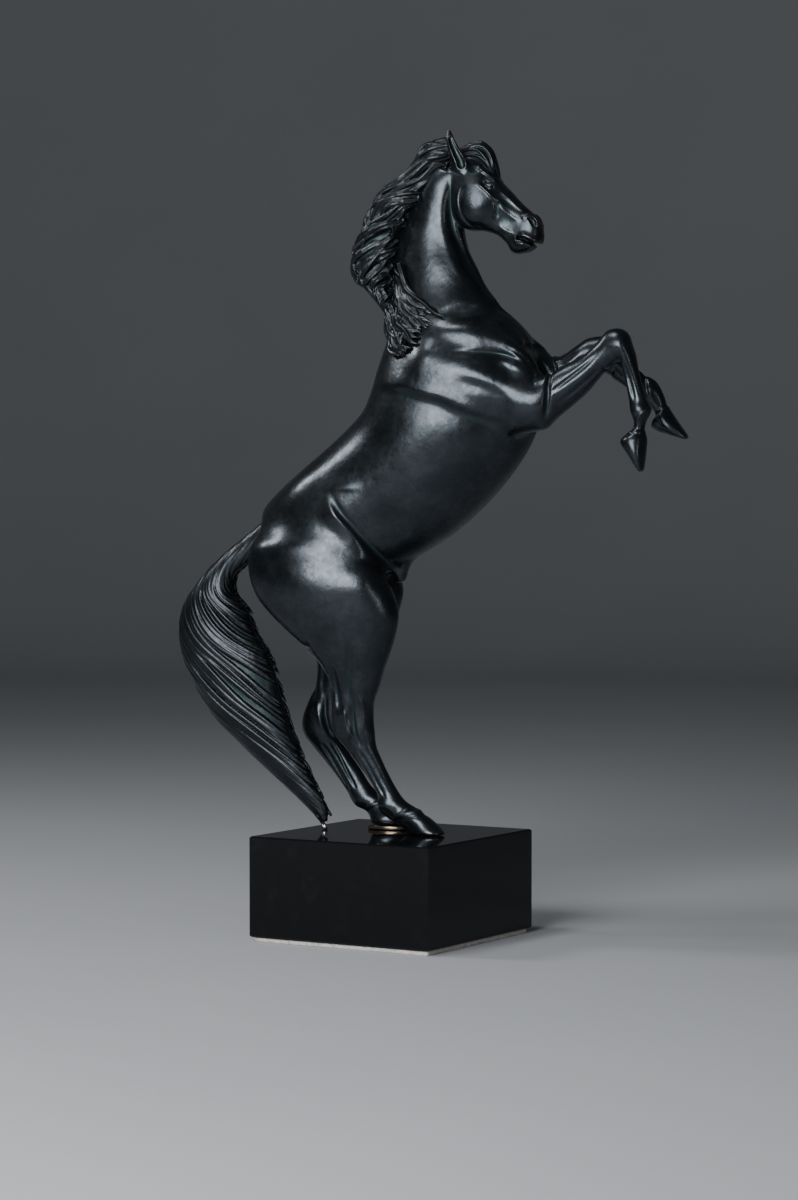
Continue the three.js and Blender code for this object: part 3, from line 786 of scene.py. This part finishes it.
def muzzle(field):
    """Nostrils, lips and the parted mouth."""
    for side in BOTH:
        field.swell((112, side * 8, 555), (6, 3.4, 5), 2.0, -45)
        wing = [(106, 8, 556), (110, 6.2, 558.4), (114, 5.4, 555.4), (116.2, 5.6, 550)]
        field.strand(curve(on_side(wing, side), 4), 1.3, 1.6)
        nostril = curve(on_side([(110.2, 9, 555.6), (112.8, 8.4, 553.8), (114.6, 8, 549.8)], side), 4)
        field.strand(nostril, [1.0, 1.4, 1.8, 2.1, 2.3, 2.4, 2.2, 1.8, 1.3], 0.6, cut=True)
        field.strokes(side, 0, (
            (1.1, 2.6, 0.9, 0.3, (101, 542.5), (107, 542), (114, 538.5), (118, 535)),
            (0.8, 1.4, 1.4, 0.3, (97, 537), (103, 536), (108, 535)),
        ))
    mouth = [(100, 540.8), (105, 540.0), (110, 537.6), (115, 534.4), (121, 529.5)]
    field.stroke(mouth, -4.6, 1.0, 1.2, taper=0.06)
    field.strand([(115.5, -14, 528.5), (115.5, 14, 528.5)], 4.8, 0.8, cut=True)
    field.swell((96.5, 0, 531), (5, 7, 3.5), 1.5)
    field.swell((106, 0, 532), (4, 6, 3), 0.8)


def ear(field, body, ribs):
    """One ear, hollowed from the front and outside."""
    field.join(body, 1.6)
    side = math.copysign(1, ribs[0][4])
    rear, front, width = rails(ribs, 4)
    middle = rear * 0.36 + front * 0.64
    middle[:, 1] += side * width * 0.85
    inner = slice(3, len(middle) - 3)
    field.strand(middle[inner], np.maximum(width[inner] * 0.5, 0.7), 1.4, cut=True)


def horse_form(field):
    """The whole horse without its hair."""
    trunk_form(field)
    for side in BOTH:
        shoulder(field, side)
        neck_muscles(field, side)
        flank_and_haunch(field, side)
    back_line(field)
    hind_leg(field, -1, (0, 0), -20)
    hind_leg(field, 1, (-38, 3), 16)
    right_foreleg(field)
    left_foreleg(field)
    skull(field)
    field.soften(0.4)
    for side in BOTH:
        eye(field, side)
    muzzle(field)
    for body, ribs in zip(EARS, (RIGHT_EAR_RIBS, LEFT_EAR_RIBS)):
        ear(field, body, ribs)


# ---------------------------------------------------------------- hair


def on_rails(ribs, v, w, side, inset):
    """A point on a loft's skin: v from its first rib to its last, w from rear to front, and
    side -1 to 1 across its width. inset is how deep it lies."""
    rear, front, width = rails(ribs)
    at = np.clip(v, 0, 1) * (len(rear) - 1)
    index = np.arange(len(rear))
    line = []
    for back, face in zip(rear.T, front.T):
        line.append(np.interp(at, index, back) * (1 - w) + np.interp(at, index, face) * w)
    half = np.maximum(np.interp(at, index, width) - inset, 0.3)
    bulge = np.sqrt(np.clip(1 - (2 * np.clip(w, 0, 1) - 1) ** 2, 0, 1))
    line[1] = line[1] + side * half * bulge
    return np.stack(line, 1)


def lock(field, path, radius, hairs):
    """A lock of hair along a path, as a few twisted strands that taper to one tip."""
    count = len(path)
    s = np.linspace(0, 1, count)
    taper = np.clip(np.sin(np.pi * (0.18 + 0.8 * s)) ** 0.6, 0.12, 1)
    tangent = np.gradient(path, axis=0)
    tangent /= np.linalg.norm(tangent, axis=1, keepdims=True)
    across = np.cross(tangent, (0, 1, 0))
    across /= np.maximum(np.linalg.norm(across, axis=1, keepdims=True), 1e-6)
    up = np.cross(across, tangent)
    start = rng.uniform(0, 2 * np.pi)
    for n in range(hairs):
        angle = start + 2 * np.pi * n / hairs + 2.2 * s
        offset = across * np.cos(angle)[:, None] + up * np.sin(angle)[:, None]
        spread = 0.55 * radius * taper * (0.85 + 0.15 * np.sin(5 * s + n))
        field.hair(path + offset * spread[:, None], 0.62 * radius * taper)


def mane():
    field = Field((-50, -55, 440), (60, 25, 625), HAIR_STEP)
    field.join(Body(MANE_RIBS, HAIR_STEP, grow=-2.5), 0.1)
    for side, count in ((-1, 40), (1, 28), (-0.5, 30), (0.4, 20)):
        for n in range(count):
            start = -0.12 + (n + rng.uniform(-0.5, 0.5)) / count * 0.94
            low = smooth_step(0.45, 0.75, start)
            s = np.linspace(0, 1, 20)
            v = start + rng.uniform(0.22, 0.34) * s**1.3
            inner = rng.uniform(0.84, 1.0) - 0.2 * low
            outer = rng.uniform(0.0, 0.12) + 0.5 * low * rng.uniform(0, 1)
            wave = 0.08 * np.sin(rng.uniform(8, 13) * s + rng.uniform(0, 6))
            w = inner + (outer - inner) * smooth_step(0, 0.8, s) + wave
            across = side * (1 - 0.25 * s) + 0.2 * np.sin(8 * s + rng.uniform(0, 6))
            path = on_rails(MANE_RIBS, v, w, across, 1.6)
            lock(field, path, rng.uniform(1.9, 3.1), 3)
    mane_ends(field)
    return field


def mane_ends(field):
    """The lowest locks, which spread forwards over the near shoulder."""
    for n in range(MANE_ENDS):
        u = (n + rng.uniform(-0.5, 0.5)) / (MANE_ENDS - 1)
        start = np.array((7 - 8 * u + rng.uniform(-2, 2), 522 - 34 * u))
        end = np.array((51 - 31 * u + rng.uniform(-14, 2), 481 - 32 * u + rng.uniform(-3, 5)))
        knee = start * 0.66 + end * 0.34 + (-3, -6)
        turn = start * 0.3 + end * 0.7 + (-3, -5)
        route = curve([(x, 0, z) for x, z in (start, knee, turn, end)], 7)
        s = np.linspace(0, 1, len(route))
        wave = rng.uniform(0.8, 1.9) * np.sin(rng.uniform(8, 12) * s + rng.uniform(0, 6))
        route[:, 0] += wave
        route[:, 2] += 0.6 * wave
        rise = rng.uniform(0.5, 3.5) * (1 - 0.8 * s) + 5 * (1 - s) ** 1.5
        skin = 22 * (1 - np.exp(-np.maximum(route[:, 0], 0) / 12))
        skin = skin + 0.4 * np.maximum(505 - route[:, 2], 0)
        route[:, 1] = 0.5 * wave - skin - rise
        lock(field, route, rng.uniform(2.4, 3.4), 3)


def forelock():
    field = Field((40, -16, 575), (95, 16, 622), HEAD_STEP)
    field.join(Body(FORELOCK_RIBS, HEAD_STEP, grow=-0.9), 0.1)
    for layer in (1, 0.86, 0.7, 0.52, 0.34, 0.18):
        for side in np.linspace(-1, 1, 9):
            s = np.linspace(0, 1, 15)
            v = 0.04 + 0.96 * s
            w = layer + 0.05 * np.sin(7 * s + rng.uniform(0, 6))
            across = np.clip(side * (0.95 + 0.2 * np.sin(4 * s + rng.uniform(0, 6))), -1, 1)
            path = on_rails(FORELOCK_RIBS, v, w, across, 0.8)
            lock(field, path, rng.uniform(1.3, 1.9), 3)
    return field


def tail():
    field = Field((-196, -32, 78), (-46, 30, 340), TAIL_STEP)
    field.join(Body(TAIL_RIBS, TAIL_STEP, power=1.9, grow=-2.2), 0.1)
    for side in BOTH:
        for n in range(TAIL_STRANDS):
            start = -0.34 + 1.3 * (n + rng.uniform(-0.3, 0.3)) / TAIL_STRANDS
            s = np.linspace(0, 1, 34)
            v = start + rng.uniform(0.29, 0.35) * s
            waves = 0.02 * np.sin(7 * s + rng.uniform(0, 6))
            w = np.maximum(0.01 + (0.98 + rng.uniform(-0.02, 0.04)) * s**1.35 + waves * s, 0)
            keep = (v > 0.005) & (v < 1.0) & (w < 0.995)
            if keep.sum() < 6:
                continue
            path = on_rails(TAIL_RIBS, v[keep], w[keep], side, 1.5)
            thick = rng.uniform(1.0, 1.8) * smooth_step(-0.02, 0.2, v[keep])
            thick = thick * (0.45 + 0.55 * smooth_step(0, 0.25, 1 - v[keep]))
            thick = thick * (0.35 + 0.65 * smooth_step(1.0, 0.88, w[keep])) + 0.35
            field.hair(path, thick)
    for x, y, z, radius in TAIL_TIPS:
        root = (x - 36, y * 0.6, z + 42)
        middle = (x - 15, y, z + 20)
        field.strand(curve([root, middle, (x, y, z)], 8), np.linspace(3.6, radius, 17), 0.5)
    return field


# ---------------------------------------------------------------- meshes


def open_seam(bm, point, normal, reach):
    """Parts the mesh along a plane, no further than reach from a point on it."""
    centre = Vector(point)
    across = Vector(normal).normalized()
    faces = []
    for face in bm.faces:
        offset = face.verts[0].co - centre
        if abs(offset.dot(across)) < SEAM_MARGIN and offset.length < reach:
            faces.append(face)
    verts = list({vert for face in faces for vert in face.verts})
    edges = list({edge for face in faces for edge in face.edges})
    cut = bmesh.ops.bisect_plane(bm, geom=verts + edges + faces, plane_co=centre, plane_no=across)
    seam = [part for part in cut["geom_cut"] if isinstance(part, bmesh.types.BMEdge)]
    bmesh.ops.split_edges(bm, edges=seam)


def islands(bm):
    """Groups of connected vertices, the largest first."""
    seen = set()
    groups = []
    for start in bm.verts:
        if start in seen:
            continue
        group = [start]
        seen.add(start)
        for vert in group:
            for edge in vert.link_edges:
                other = edge.other_vert(vert)
                if other not in seen:
                    seen.add(other)
                    group.append(other)
        groups.append(group)
    return sorted(groups, key=len, reverse=True)


def skin_mesh(name, points, quads):
    mesh = bpy.data.meshes.new(name)
    mesh.vertices.add(len(points))
    mesh.vertices.foreach_set("co", points.astype(np.float32).ravel())
    mesh.loops.add(quads.size)
    mesh.loops.foreach_set("vertex_index", quads.astype(np.int32).ravel())
    mesh.polygons.add(len(quads))
    mesh.polygons.foreach_set("loop_start", np.arange(0, quads.size, 4, dtype=np.int32))
    mesh.polygons.foreach_set("loop_total", np.full(len(quads), 4, np.int32))
    mesh.update(calc_edges=True)
    return mesh


def set_relief(mesh, values):
    """Stores how far each point stands out from its surroundings, for the patina."""
    relief = mesh.attributes.new("relief", "FLOAT", "POINT")
    relief.data.foreach_set("value", values.astype(np.float32))


def cast(node, field, seams, material):
    """Makes a casting's mesh from a field, cut at its seams, with relief and smooth normals."""
    name = node.replace("_casting", "") + "_bronze"
    mesh = skin_mesh(name, *field.surface())
    bm = bmesh.new()
    bm.from_mesh(mesh)
    for seam in seams:
        open_seam(bm, *seam)
    spare = [vert for group in islands(bm)[1:] for vert in group]
    bmesh.ops.delete(bm, geom=spare, context="VERTS")
    edges = [edge for edge in bm.edges if edge.is_boundary]
    bmesh.ops.holes_fill(bm, edges=edges, sides=0)
    bm.to_mesh(mesh)
    bm.free()
    places = np.empty(len(mesh.vertices) * 3, np.float32)
    mesh.vertices.foreach_get("co", places)
    places = places.reshape(-1, 3).astype(float)
    smooth = field.blurred(RELIEF_WIDTH, RELIEF_LIMIT)
    set_relief(mesh, field.at(places, smooth) - field.at(places))
    normals = field.normals(places)
    mesh.transform(HORSE)
    turned = normals @ np.array(HORSE.to_3x3().normalized().transposed())
    mesh.polygons.foreach_set("use_smooth", np.ones(len(mesh.polygons), bool))
    mesh.normals_split_custom_set_from_vertices(turned)
    mesh.materials.append(material)
    piece(name, mesh, node)


def stacked(name, rings, lid=True, looped=False):
    """A mesh over rings of points, each joined to the next. The first ring is closed by a lid and
    the last by a floor. Looped, it has neither, and the last ring joins the first."""
    count = len(rings[0])
    last = (len(rings) - 1) * count
    faces = []
    for low in range(len(rings) if looped else len(rings) - 1):
        high = (low + 1) % len(rings)
        for j in range(count):
            k = (j + 1) % count
            faces.append((low * count + j, low * count + k, high * count + k, high * count + j))
    if lid and not looped:
        faces.append(tuple(reversed(range(count))))
    if not looped:
        faces.append(tuple(range(last, last + count)))
    mesh = bpy.data.meshes.new(name)
    mesh.from_pydata(np.vstack(rings).tolist(), [], faces)
    mesh.polygons.foreach_set("use_smooth", np.ones(len(mesh.polygons), bool))
    mesh.set_sharp_from_angle(angle=math.radians(50))
    return mesh


def ring(across, z, turn=0.0, count=96):
    """Points round an ellipse, across being its two half widths."""
    angle = np.linspace(0, 2 * np.pi, count, endpoint=False)
    x, y = across[0] * np.cos(angle), across[1] * np.sin(angle)
    c, s = math.cos(turn), math.sin(turn)
    return np.stack([c * x - s * y, s * x + c * y, np.full(count, float(z))], 1)


def felt_sheet():
    """The felt glued under the block, with a soft, slightly ragged edge."""
    step = np.linspace(0, 4, 520, endpoint=False)
    half = FELT_SIDE / 2
    walk = [np.clip(2 * np.abs((step - a) % 4 - 2) - 2, -1, 1) * half for a in (0, 1)]
    outline = np.stack(walk, 1)
    inner = np.clip(outline, FELT_CORNER - half, half - FELT_CORNER)
    outwards = outline - inner
    outwards /= np.linalg.norm(outwards, axis=1, keepdims=True)
    rings = []
    levels = ((0, 0.7), (0.3, 0.35), (0.9, 0.2), (1.6, 0.15), (2.4, 0.2), (3.0, 0.35), (3.3, 0.7))
    for z, inset in levels:
        reach = FELT_CORNER - inset + rng.normal(0, 0.09, (len(step), 1))
        rings.append(np.column_stack([inner + reach * outwards, np.full(len(step), z)]))
    mesh = stacked("felt_sheet", rings)
    mesh.transform(Matrix.Scale(MM, 4))
    mesh.materials.append(FELT)
    sheet = piece("felt_sheet", mesh, "felt_pad")


def hoof_plate():
    """The plate that levels the left hind hoof, bored for the stud, its rim worn bright."""
    half = np.array(PLATE_SIZE) / 2
    # Height, inset and wear of each ring.
    levels = ((0, 0.5, 0.2), (0.4, 0, 0.7), (2.3, 0, 0.9), (2.8, 0.25, 1.0), (3.0, 0.8, 0.5), (3.0, 5, 0))
    rings = [ring(half - inset, z, PLATE_TURN) for z, inset, _ in levels]
    rings.append(ring((PLATE_HOLE, PLATE_HOLE), 3.0, PLATE_TURN))
    rings.append(ring((PLATE_HOLE, PLATE_HOLE), 0, PLATE_TURN))
    mesh = stacked("hoof_plate_bronze", [r + PLATE_PLACE for r in rings], looped=True)
    mesh.transform(HORSE)
    set_relief(mesh, np.repeat([level[2] for level in levels] + [0, 0], len(rings[0])))
    mesh.materials.append(PLATE_BRONZE)
    piece("hoof_plate_bronze", mesh, "left_hoof_plate")


def pin():
    """The pin under the tail: a shank with a groove below its ball."""
    levels = [(1.2, -14), (1.5, -13.6), (1.5, -0.9), (1.15, -0.6), (1.15, -0.2), (1.5, 0.2)]
    for angle in np.radians(np.arange(42, 180, 6)):
        levels.append((2.4 * math.sin(angle), 2.08 - 2.4 * math.cos(angle)))
    rings = [ring((radius, radius), z, count=48) + PIN_PLACE for radius, z in levels]
    mesh = stacked("tail_pin_steel", rings)
    mesh.transform(HORSE)
    mesh.materials.append(STEEL)
    piece("tail_pin_steel", mesh, "tail_pin")


def placed(name, data):
    """A new object in the scene."""
    thing = bpy.data.objects.new(name, data)
    bpy.context.scene.collection.objects.link(thing)
    return thing


def piece(name, mesh, node):
    """A visible piece that stands for a CAD node."""
    thing = placed(name, mesh)
    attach(thing, ROOT)
    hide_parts(node)
    return thing


# ---------------------------------------------------------------- materials


class Nodes:
    """Short calls that build a material's nodes."""

    def __init__(self, name):
        self.material = bpy.data.materials.new(name)
        self.material.use_nodes = True
        self.tree = self.material.node_tree
        self.place = self.add("TexCoord").outputs["Object"]

    def put(self, target, value):
        if isinstance(value, bpy.types.NodeSocket):
            self.tree.links.new(value, target)
        else:
            target.default_value = value

    def fill(self, node, values):
        for name, value in values.items():
            self.put(node.inputs[name.replace("_", " ")], value)

    def add(self, kind, **values):
        node = self.tree.nodes.new("ShaderNode" + kind)
        self.fill(node, values)
        return node

    def noise(self, scale, detail=3.0, rough=0.5, place=None):
        place = place or self.place
        node = self.add("TexNoise", Vector=place, Scale=scale, Detail=detail, Roughness=rough)
        return node.outputs["Fac"]

    def cells(self, scale):
        return self.add("TexVoronoi", Vector=self.place, Scale=scale).outputs["Distance"]

    def attribute(self, name):
        node = self.add("Attribute")
        node.attribute_name = name
        return node.outputs["Fac"]

    def spread(self, value, low, high, to_low=0.0, to_high=1.0):
        limits = {"From_Min": low, "From_Max": high, "To_Min": to_low, "To_Max": to_high}
        return self.add("MapRange", Value=value, **limits).outputs["Result"]

    def math(self, operation, a, b):
        node = self.add("Math")
        node.operation = operation
        self.put(node.inputs[0], a)
        self.put(node.inputs[1], b)
        return node.outputs[0]

    def mix(self, factor, a, b):
        node = self.add("Mix")
        node.data_type = "RGBA"
        self.fill(node, {"Factor": factor, "A": a, "B": b})
        return node.outputs["Result"]

    def stretched(self, factors):
        return self.add("Mapping", Vector=self.place, Scale=factors).outputs["Vector"]

    def bump(self, height, depth, before=None):
        node = self.add("Bump", Height=height, Distance=depth, Strength=1.0)
        if before:
            self.put(node.inputs["Normal"], before)
        return node.outputs["Normal"]

    def finish(self, **inputs):
        self.fill(self.tree.nodes["Principled BSDF"], inputs)
        return self.material


def bronze(name, wear, shade=1.0, dull=0.0):
    """Dark blue-black patina over bronze: greener in the hollows, browner on worn edges."""
    n = Nodes(name)
    tones = []
    for tone in ((0.030, 0.038, 0.046), (0.056, 0.067, 0.077), (0.018, 0.025, 0.031)):
        tones.append((*(shade * channel for channel in tone), 1))
    relief = n.attribute("relief")
    cloud = n.noise(34, 4, 0.6)
    mottle = n.noise(210, 5, 0.65)
    grain = n.noise(1500, 3, 0.6)
    base = n.mix(n.spread(cloud, 0.38, 0.66), tones[0], tones[1])
    base = n.mix(n.spread(mottle, 0.42, 0.74, 0, 0.45), base, tones[2])
    hollow = n.math("MULTIPLY", n.spread(relief, -0.02, -0.25), n.spread(mottle, 0.3, 0.6, 0.4, 1))
    base = n.mix(hollow, base, (0.020, 0.036, 0.038, 1))
    ridge = n.math("MULTIPLY", n.spread(relief, 0.3, 1.0), n.spread(mottle, 0.36, 0.62, 0.1, 1))
    base = n.mix(n.math("MULTIPLY", ridge, wear), base, (0.34, 0.225, 0.12, 1))
    rough = n.spread(mottle, 0.3, 0.75, 0.23 + dull, 0.36 + dull)
    rough = n.math("ADD", rough, n.math("MULTIPLY", hollow, 0.2))
    rough = n.math("SUBTRACT", rough, n.math("MULTIPLY", ridge, 0.08))
    tooled = n.bump(n.noise(120, 2, 0.5), 0.00028)
    speckled = n.bump(mottle, 0.00007, tooled)
    return n.finish(
        Base_Color=base,
        Metallic=0.88,
        Roughness=rough,
        Coat_Weight=0.15,
        Coat_Roughness=0.22,
        Normal=n.bump(grain, 0.000018, speckled),
    )


def stone():
    """Polished black stone with faint flecks and a few smudges."""
    n = Nodes("polished_black_stone")
    fleck = n.spread(n.cells(900), 0.10, 0.02)
    vein = n.spread(n.noise(60, 6, 0.7), 0.55, 0.75)
    base = n.mix(n.math("MULTIPLY", vein, 0.5), (0.0045, 0.005, 0.006, 1), (0.012, 0.013, 0.015, 1))
    base = n.mix(n.math("MULTIPLY", fleck, 0.35), base, (0.05, 0.052, 0.056, 1))
    smudge = n.spread(n.noise(22, 4, 0.6), 0.5, 0.8, 0.04, 0.12)
    return n.finish(
        Base_Color=base,
        Roughness=smudge,
        Specular_IOR_Level=0.15,
        Normal=n.bump(n.noise(260, 2), 0.000012),
    )


def felt():
    """Pale matted wool."""
    n = Nodes("grey_felt")
    fibre = n.noise(1400, 5, 0.75, n.stretched((1, 1, 0.35)))
    tuft = n.noise(280, 4, 0.7)
    base = n.mix(n.spread(tuft, 0.35, 0.7), (0.46, 0.43, 0.39, 1), (0.78, 0.75, 0.71, 1))
    base = n.mix(n.spread(fibre, 0.5, 0.75, 0, 0.6), base, (0.16, 0.15, 0.14, 1))
    return n.finish(
        Base_Color=base,
        Roughness=n.spread(tuft, 0.3, 0.7, 0.85, 1.0),
        Sheen_Weight=0.4,
        Normal=n.bump(n.math("ADD", fibre, tuft), 0.0004),
    )


def steel():
    """Turned bright steel."""
    n = Nodes("bright_steel")
    lines = n.noise(900, 3, 0.6, n.stretched((0.06, 0.06, 1)))
    base = n.mix(n.spread(n.noise(160), 0.4, 0.7), (0.62, 0.62, 0.61, 1), (0.44, 0.44, 0.45, 1))
    return n.finish(
        Base_Color=base,
        Metallic=1.0,
        Roughness=n.spread(lines, 0.3, 0.7, 0.2, 0.36),
        Normal=n.bump(lines, 0.00002),
    )


def floor_paint():
    """Matt pale grey."""
    n = Nodes("pale_floor")
    base = n.mix(n.noise(3, 3), (0.37, 0.385, 0.41, 1), (0.41, 0.425, 0.45, 1))
    return n.finish(Base_Color=base, Roughness=0.7)


BRONZE = bronze("bronze_patina", 0.16, 0.72)
# The hair is the same bronze as the body, but its copy is darker (shade 0.52 against 0.72): painted shade
# for the mane, forelock and tail.
HAIR_PATINA_PAINTED_SHADE = bronze("hair_patina_painted_shade", 0.03, 0.52, 0.08)
PLATE_BRONZE = bronze("bronze_worn_plate", 1.0)
STONE = stone()
FELT = felt()
STEEL = steel()


# ---------------------------------------------------------------- camera, floor and lights


def direction(azimuth, elevation):
    """The way from the statue to a camera or light at these angles, in radians."""
    flat = math.cos(elevation)
    return Vector((math.sin(azimuth) * flat, -math.cos(azimuth) * flat, math.sin(elevation)))


def camera():
    sight = direction(CAMERA_AZIMUTH, CAMERA_PITCH)
    right = Vector((math.cos(CAMERA_AZIMUTH), math.sin(CAMERA_AZIMUTH), 0))
    data = bpy.data.cameras.new("camera")
    data.lens = CAMERA_LENS
    data.sensor_width = 36
    data.clip_start = 0.05
    thing = placed("camera", data)
    place = Vector((0, 0, CAMERA_HEIGHT)) + right * CAMERA_ASIDE + sight * CAMERA_DISTANCE
    turn = Matrix((right, sight.cross(right), sight)).transposed()
    thing.matrix_world = Matrix.Translation(place) @ turn.to_4x4()
    bpy.context.scene.camera = thing


def softbox(name, azimuth, elevation, distance, width, height, power):
    """A rectangular light that faces the statue's middle. Its angles are in degrees."""
    back = direction(math.radians(azimuth), math.radians(elevation))
    data = bpy.data.lights.new(name, "AREA")
    data.shape = "RECTANGLE"
    data.size = width
    data.size_y = height
    data.energy = power
    thing = placed(name, data)
    thing.location = Vector((0, 0, LIGHT_AIM)) + back * distance
    thing.rotation_mode = "QUATERNION"
    thing.rotation_quaternion = back.to_track_quat("Z", "Y")


def studio():
    """A pale floor that sweeps up into a wall all round, and soft lights inside it."""
    world = bpy.data.worlds.new("studio")
    world.use_nodes = True
    background = world.node_tree.nodes["Background"]
    background.inputs["Color"].default_value = (0.055, 0.058, 0.062, 1)
    background.inputs["Strength"].default_value = 1.0
    bpy.context.scene.world = world
    sweep = [(radius, 0) for radius in (0.5, 1.5, 2.5, FLOOR_FLAT)]
    for angle in np.radians(np.arange(6, 91, 6)):
        across = FLOOR_FLAT + FLOOR_BEND * math.sin(angle)
        sweep.append((across, FLOOR_BEND * (1 - math.cos(angle))))
    sweep.append((FLOOR_FLAT + FLOOR_BEND, WALL_TOP))
    rings = [ring((radius, radius), z) for radius, z in reversed(sweep)]
    floor = placed("floor", stacked("floor", rings, lid=False))
    floor.data.materials.append(floor_paint())
    softbox("key", 5, 17, 1.9, 1.0, 0.9, 41)
    softbox("top", -30, 62, 1.7, 0.4, 0.5, 9)
    softbox("rim", -71, 37, 1.7, 0.25, 0.4, 9)
    softbox("strip", 59, 2, 2.2, 0.12, 1.2, 5)


# ---------------------------------------------------------------- pieces


def horse():
    body_seams = [THIGH_SEAM, ELBOW_SEAM, WITHERS_SEAM]
    neck_seams = [WITHERS_SEAM, CHEEK_SEAM]
    grids = [
        ("body_casting", (-122, -62, 222), (127, 62, 512), BODY_STEP, body_seams),
        ("neck_casting", (-32, -50, 452), (124, 50, 612), NECK_STEP, neck_seams),
        ("head_casting", (40, -24, 520), (124, 24, 630), HEAD_STEP, [CHEEK_SEAM]),
        ("right_foreleg", (118, -42, 352), (216, -1, 476), LEG_STEP, [ELBOW_SEAM]),
        ("left_foreleg", (118, 1, 376), (234, 44, 472), LEG_STEP, [ELBOW_SEAM]),
        ("right_hind_leg", (-84, -52, 79), (54, -1, 230), LEG_STEP, [THIGH_SEAM]),
        ("left_hind_leg", (-112, 1, 81), (16, 52, 230), LEG_STEP, [THIGH_SEAM]),
    ]
    for node, low, high, step, seams in grids:
        field = Field(low, high, step)
        horse_form(field)
        cast(node, field, seams, BRONZE)
    for node, make in (("mane_casting", mane), ("forelock_casting", forelock), ("tail_casting", tail)):
        cast(node, make(), [], HAIR_PATINA_PAINTED_SHADE)
    hoof_plate()
    pin()
    felt_sheet()


def finish_cad_nodes():
    """Gives every CAD node its material, the hidden ones too."""
    finishes = {"stone_block": STONE, "felt_pad": FELT, "tail_pin": STEEL}
    for name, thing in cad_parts.items():
        fixing = any(word in name for word in ("stud", "washer", "nut"))
        thing.data.materials.clear()
        thing.data.materials.append(STEEL if fixing else finishes.get(name, BRONZE))


camera()
studio()
horse()
finish_cad_nodes()
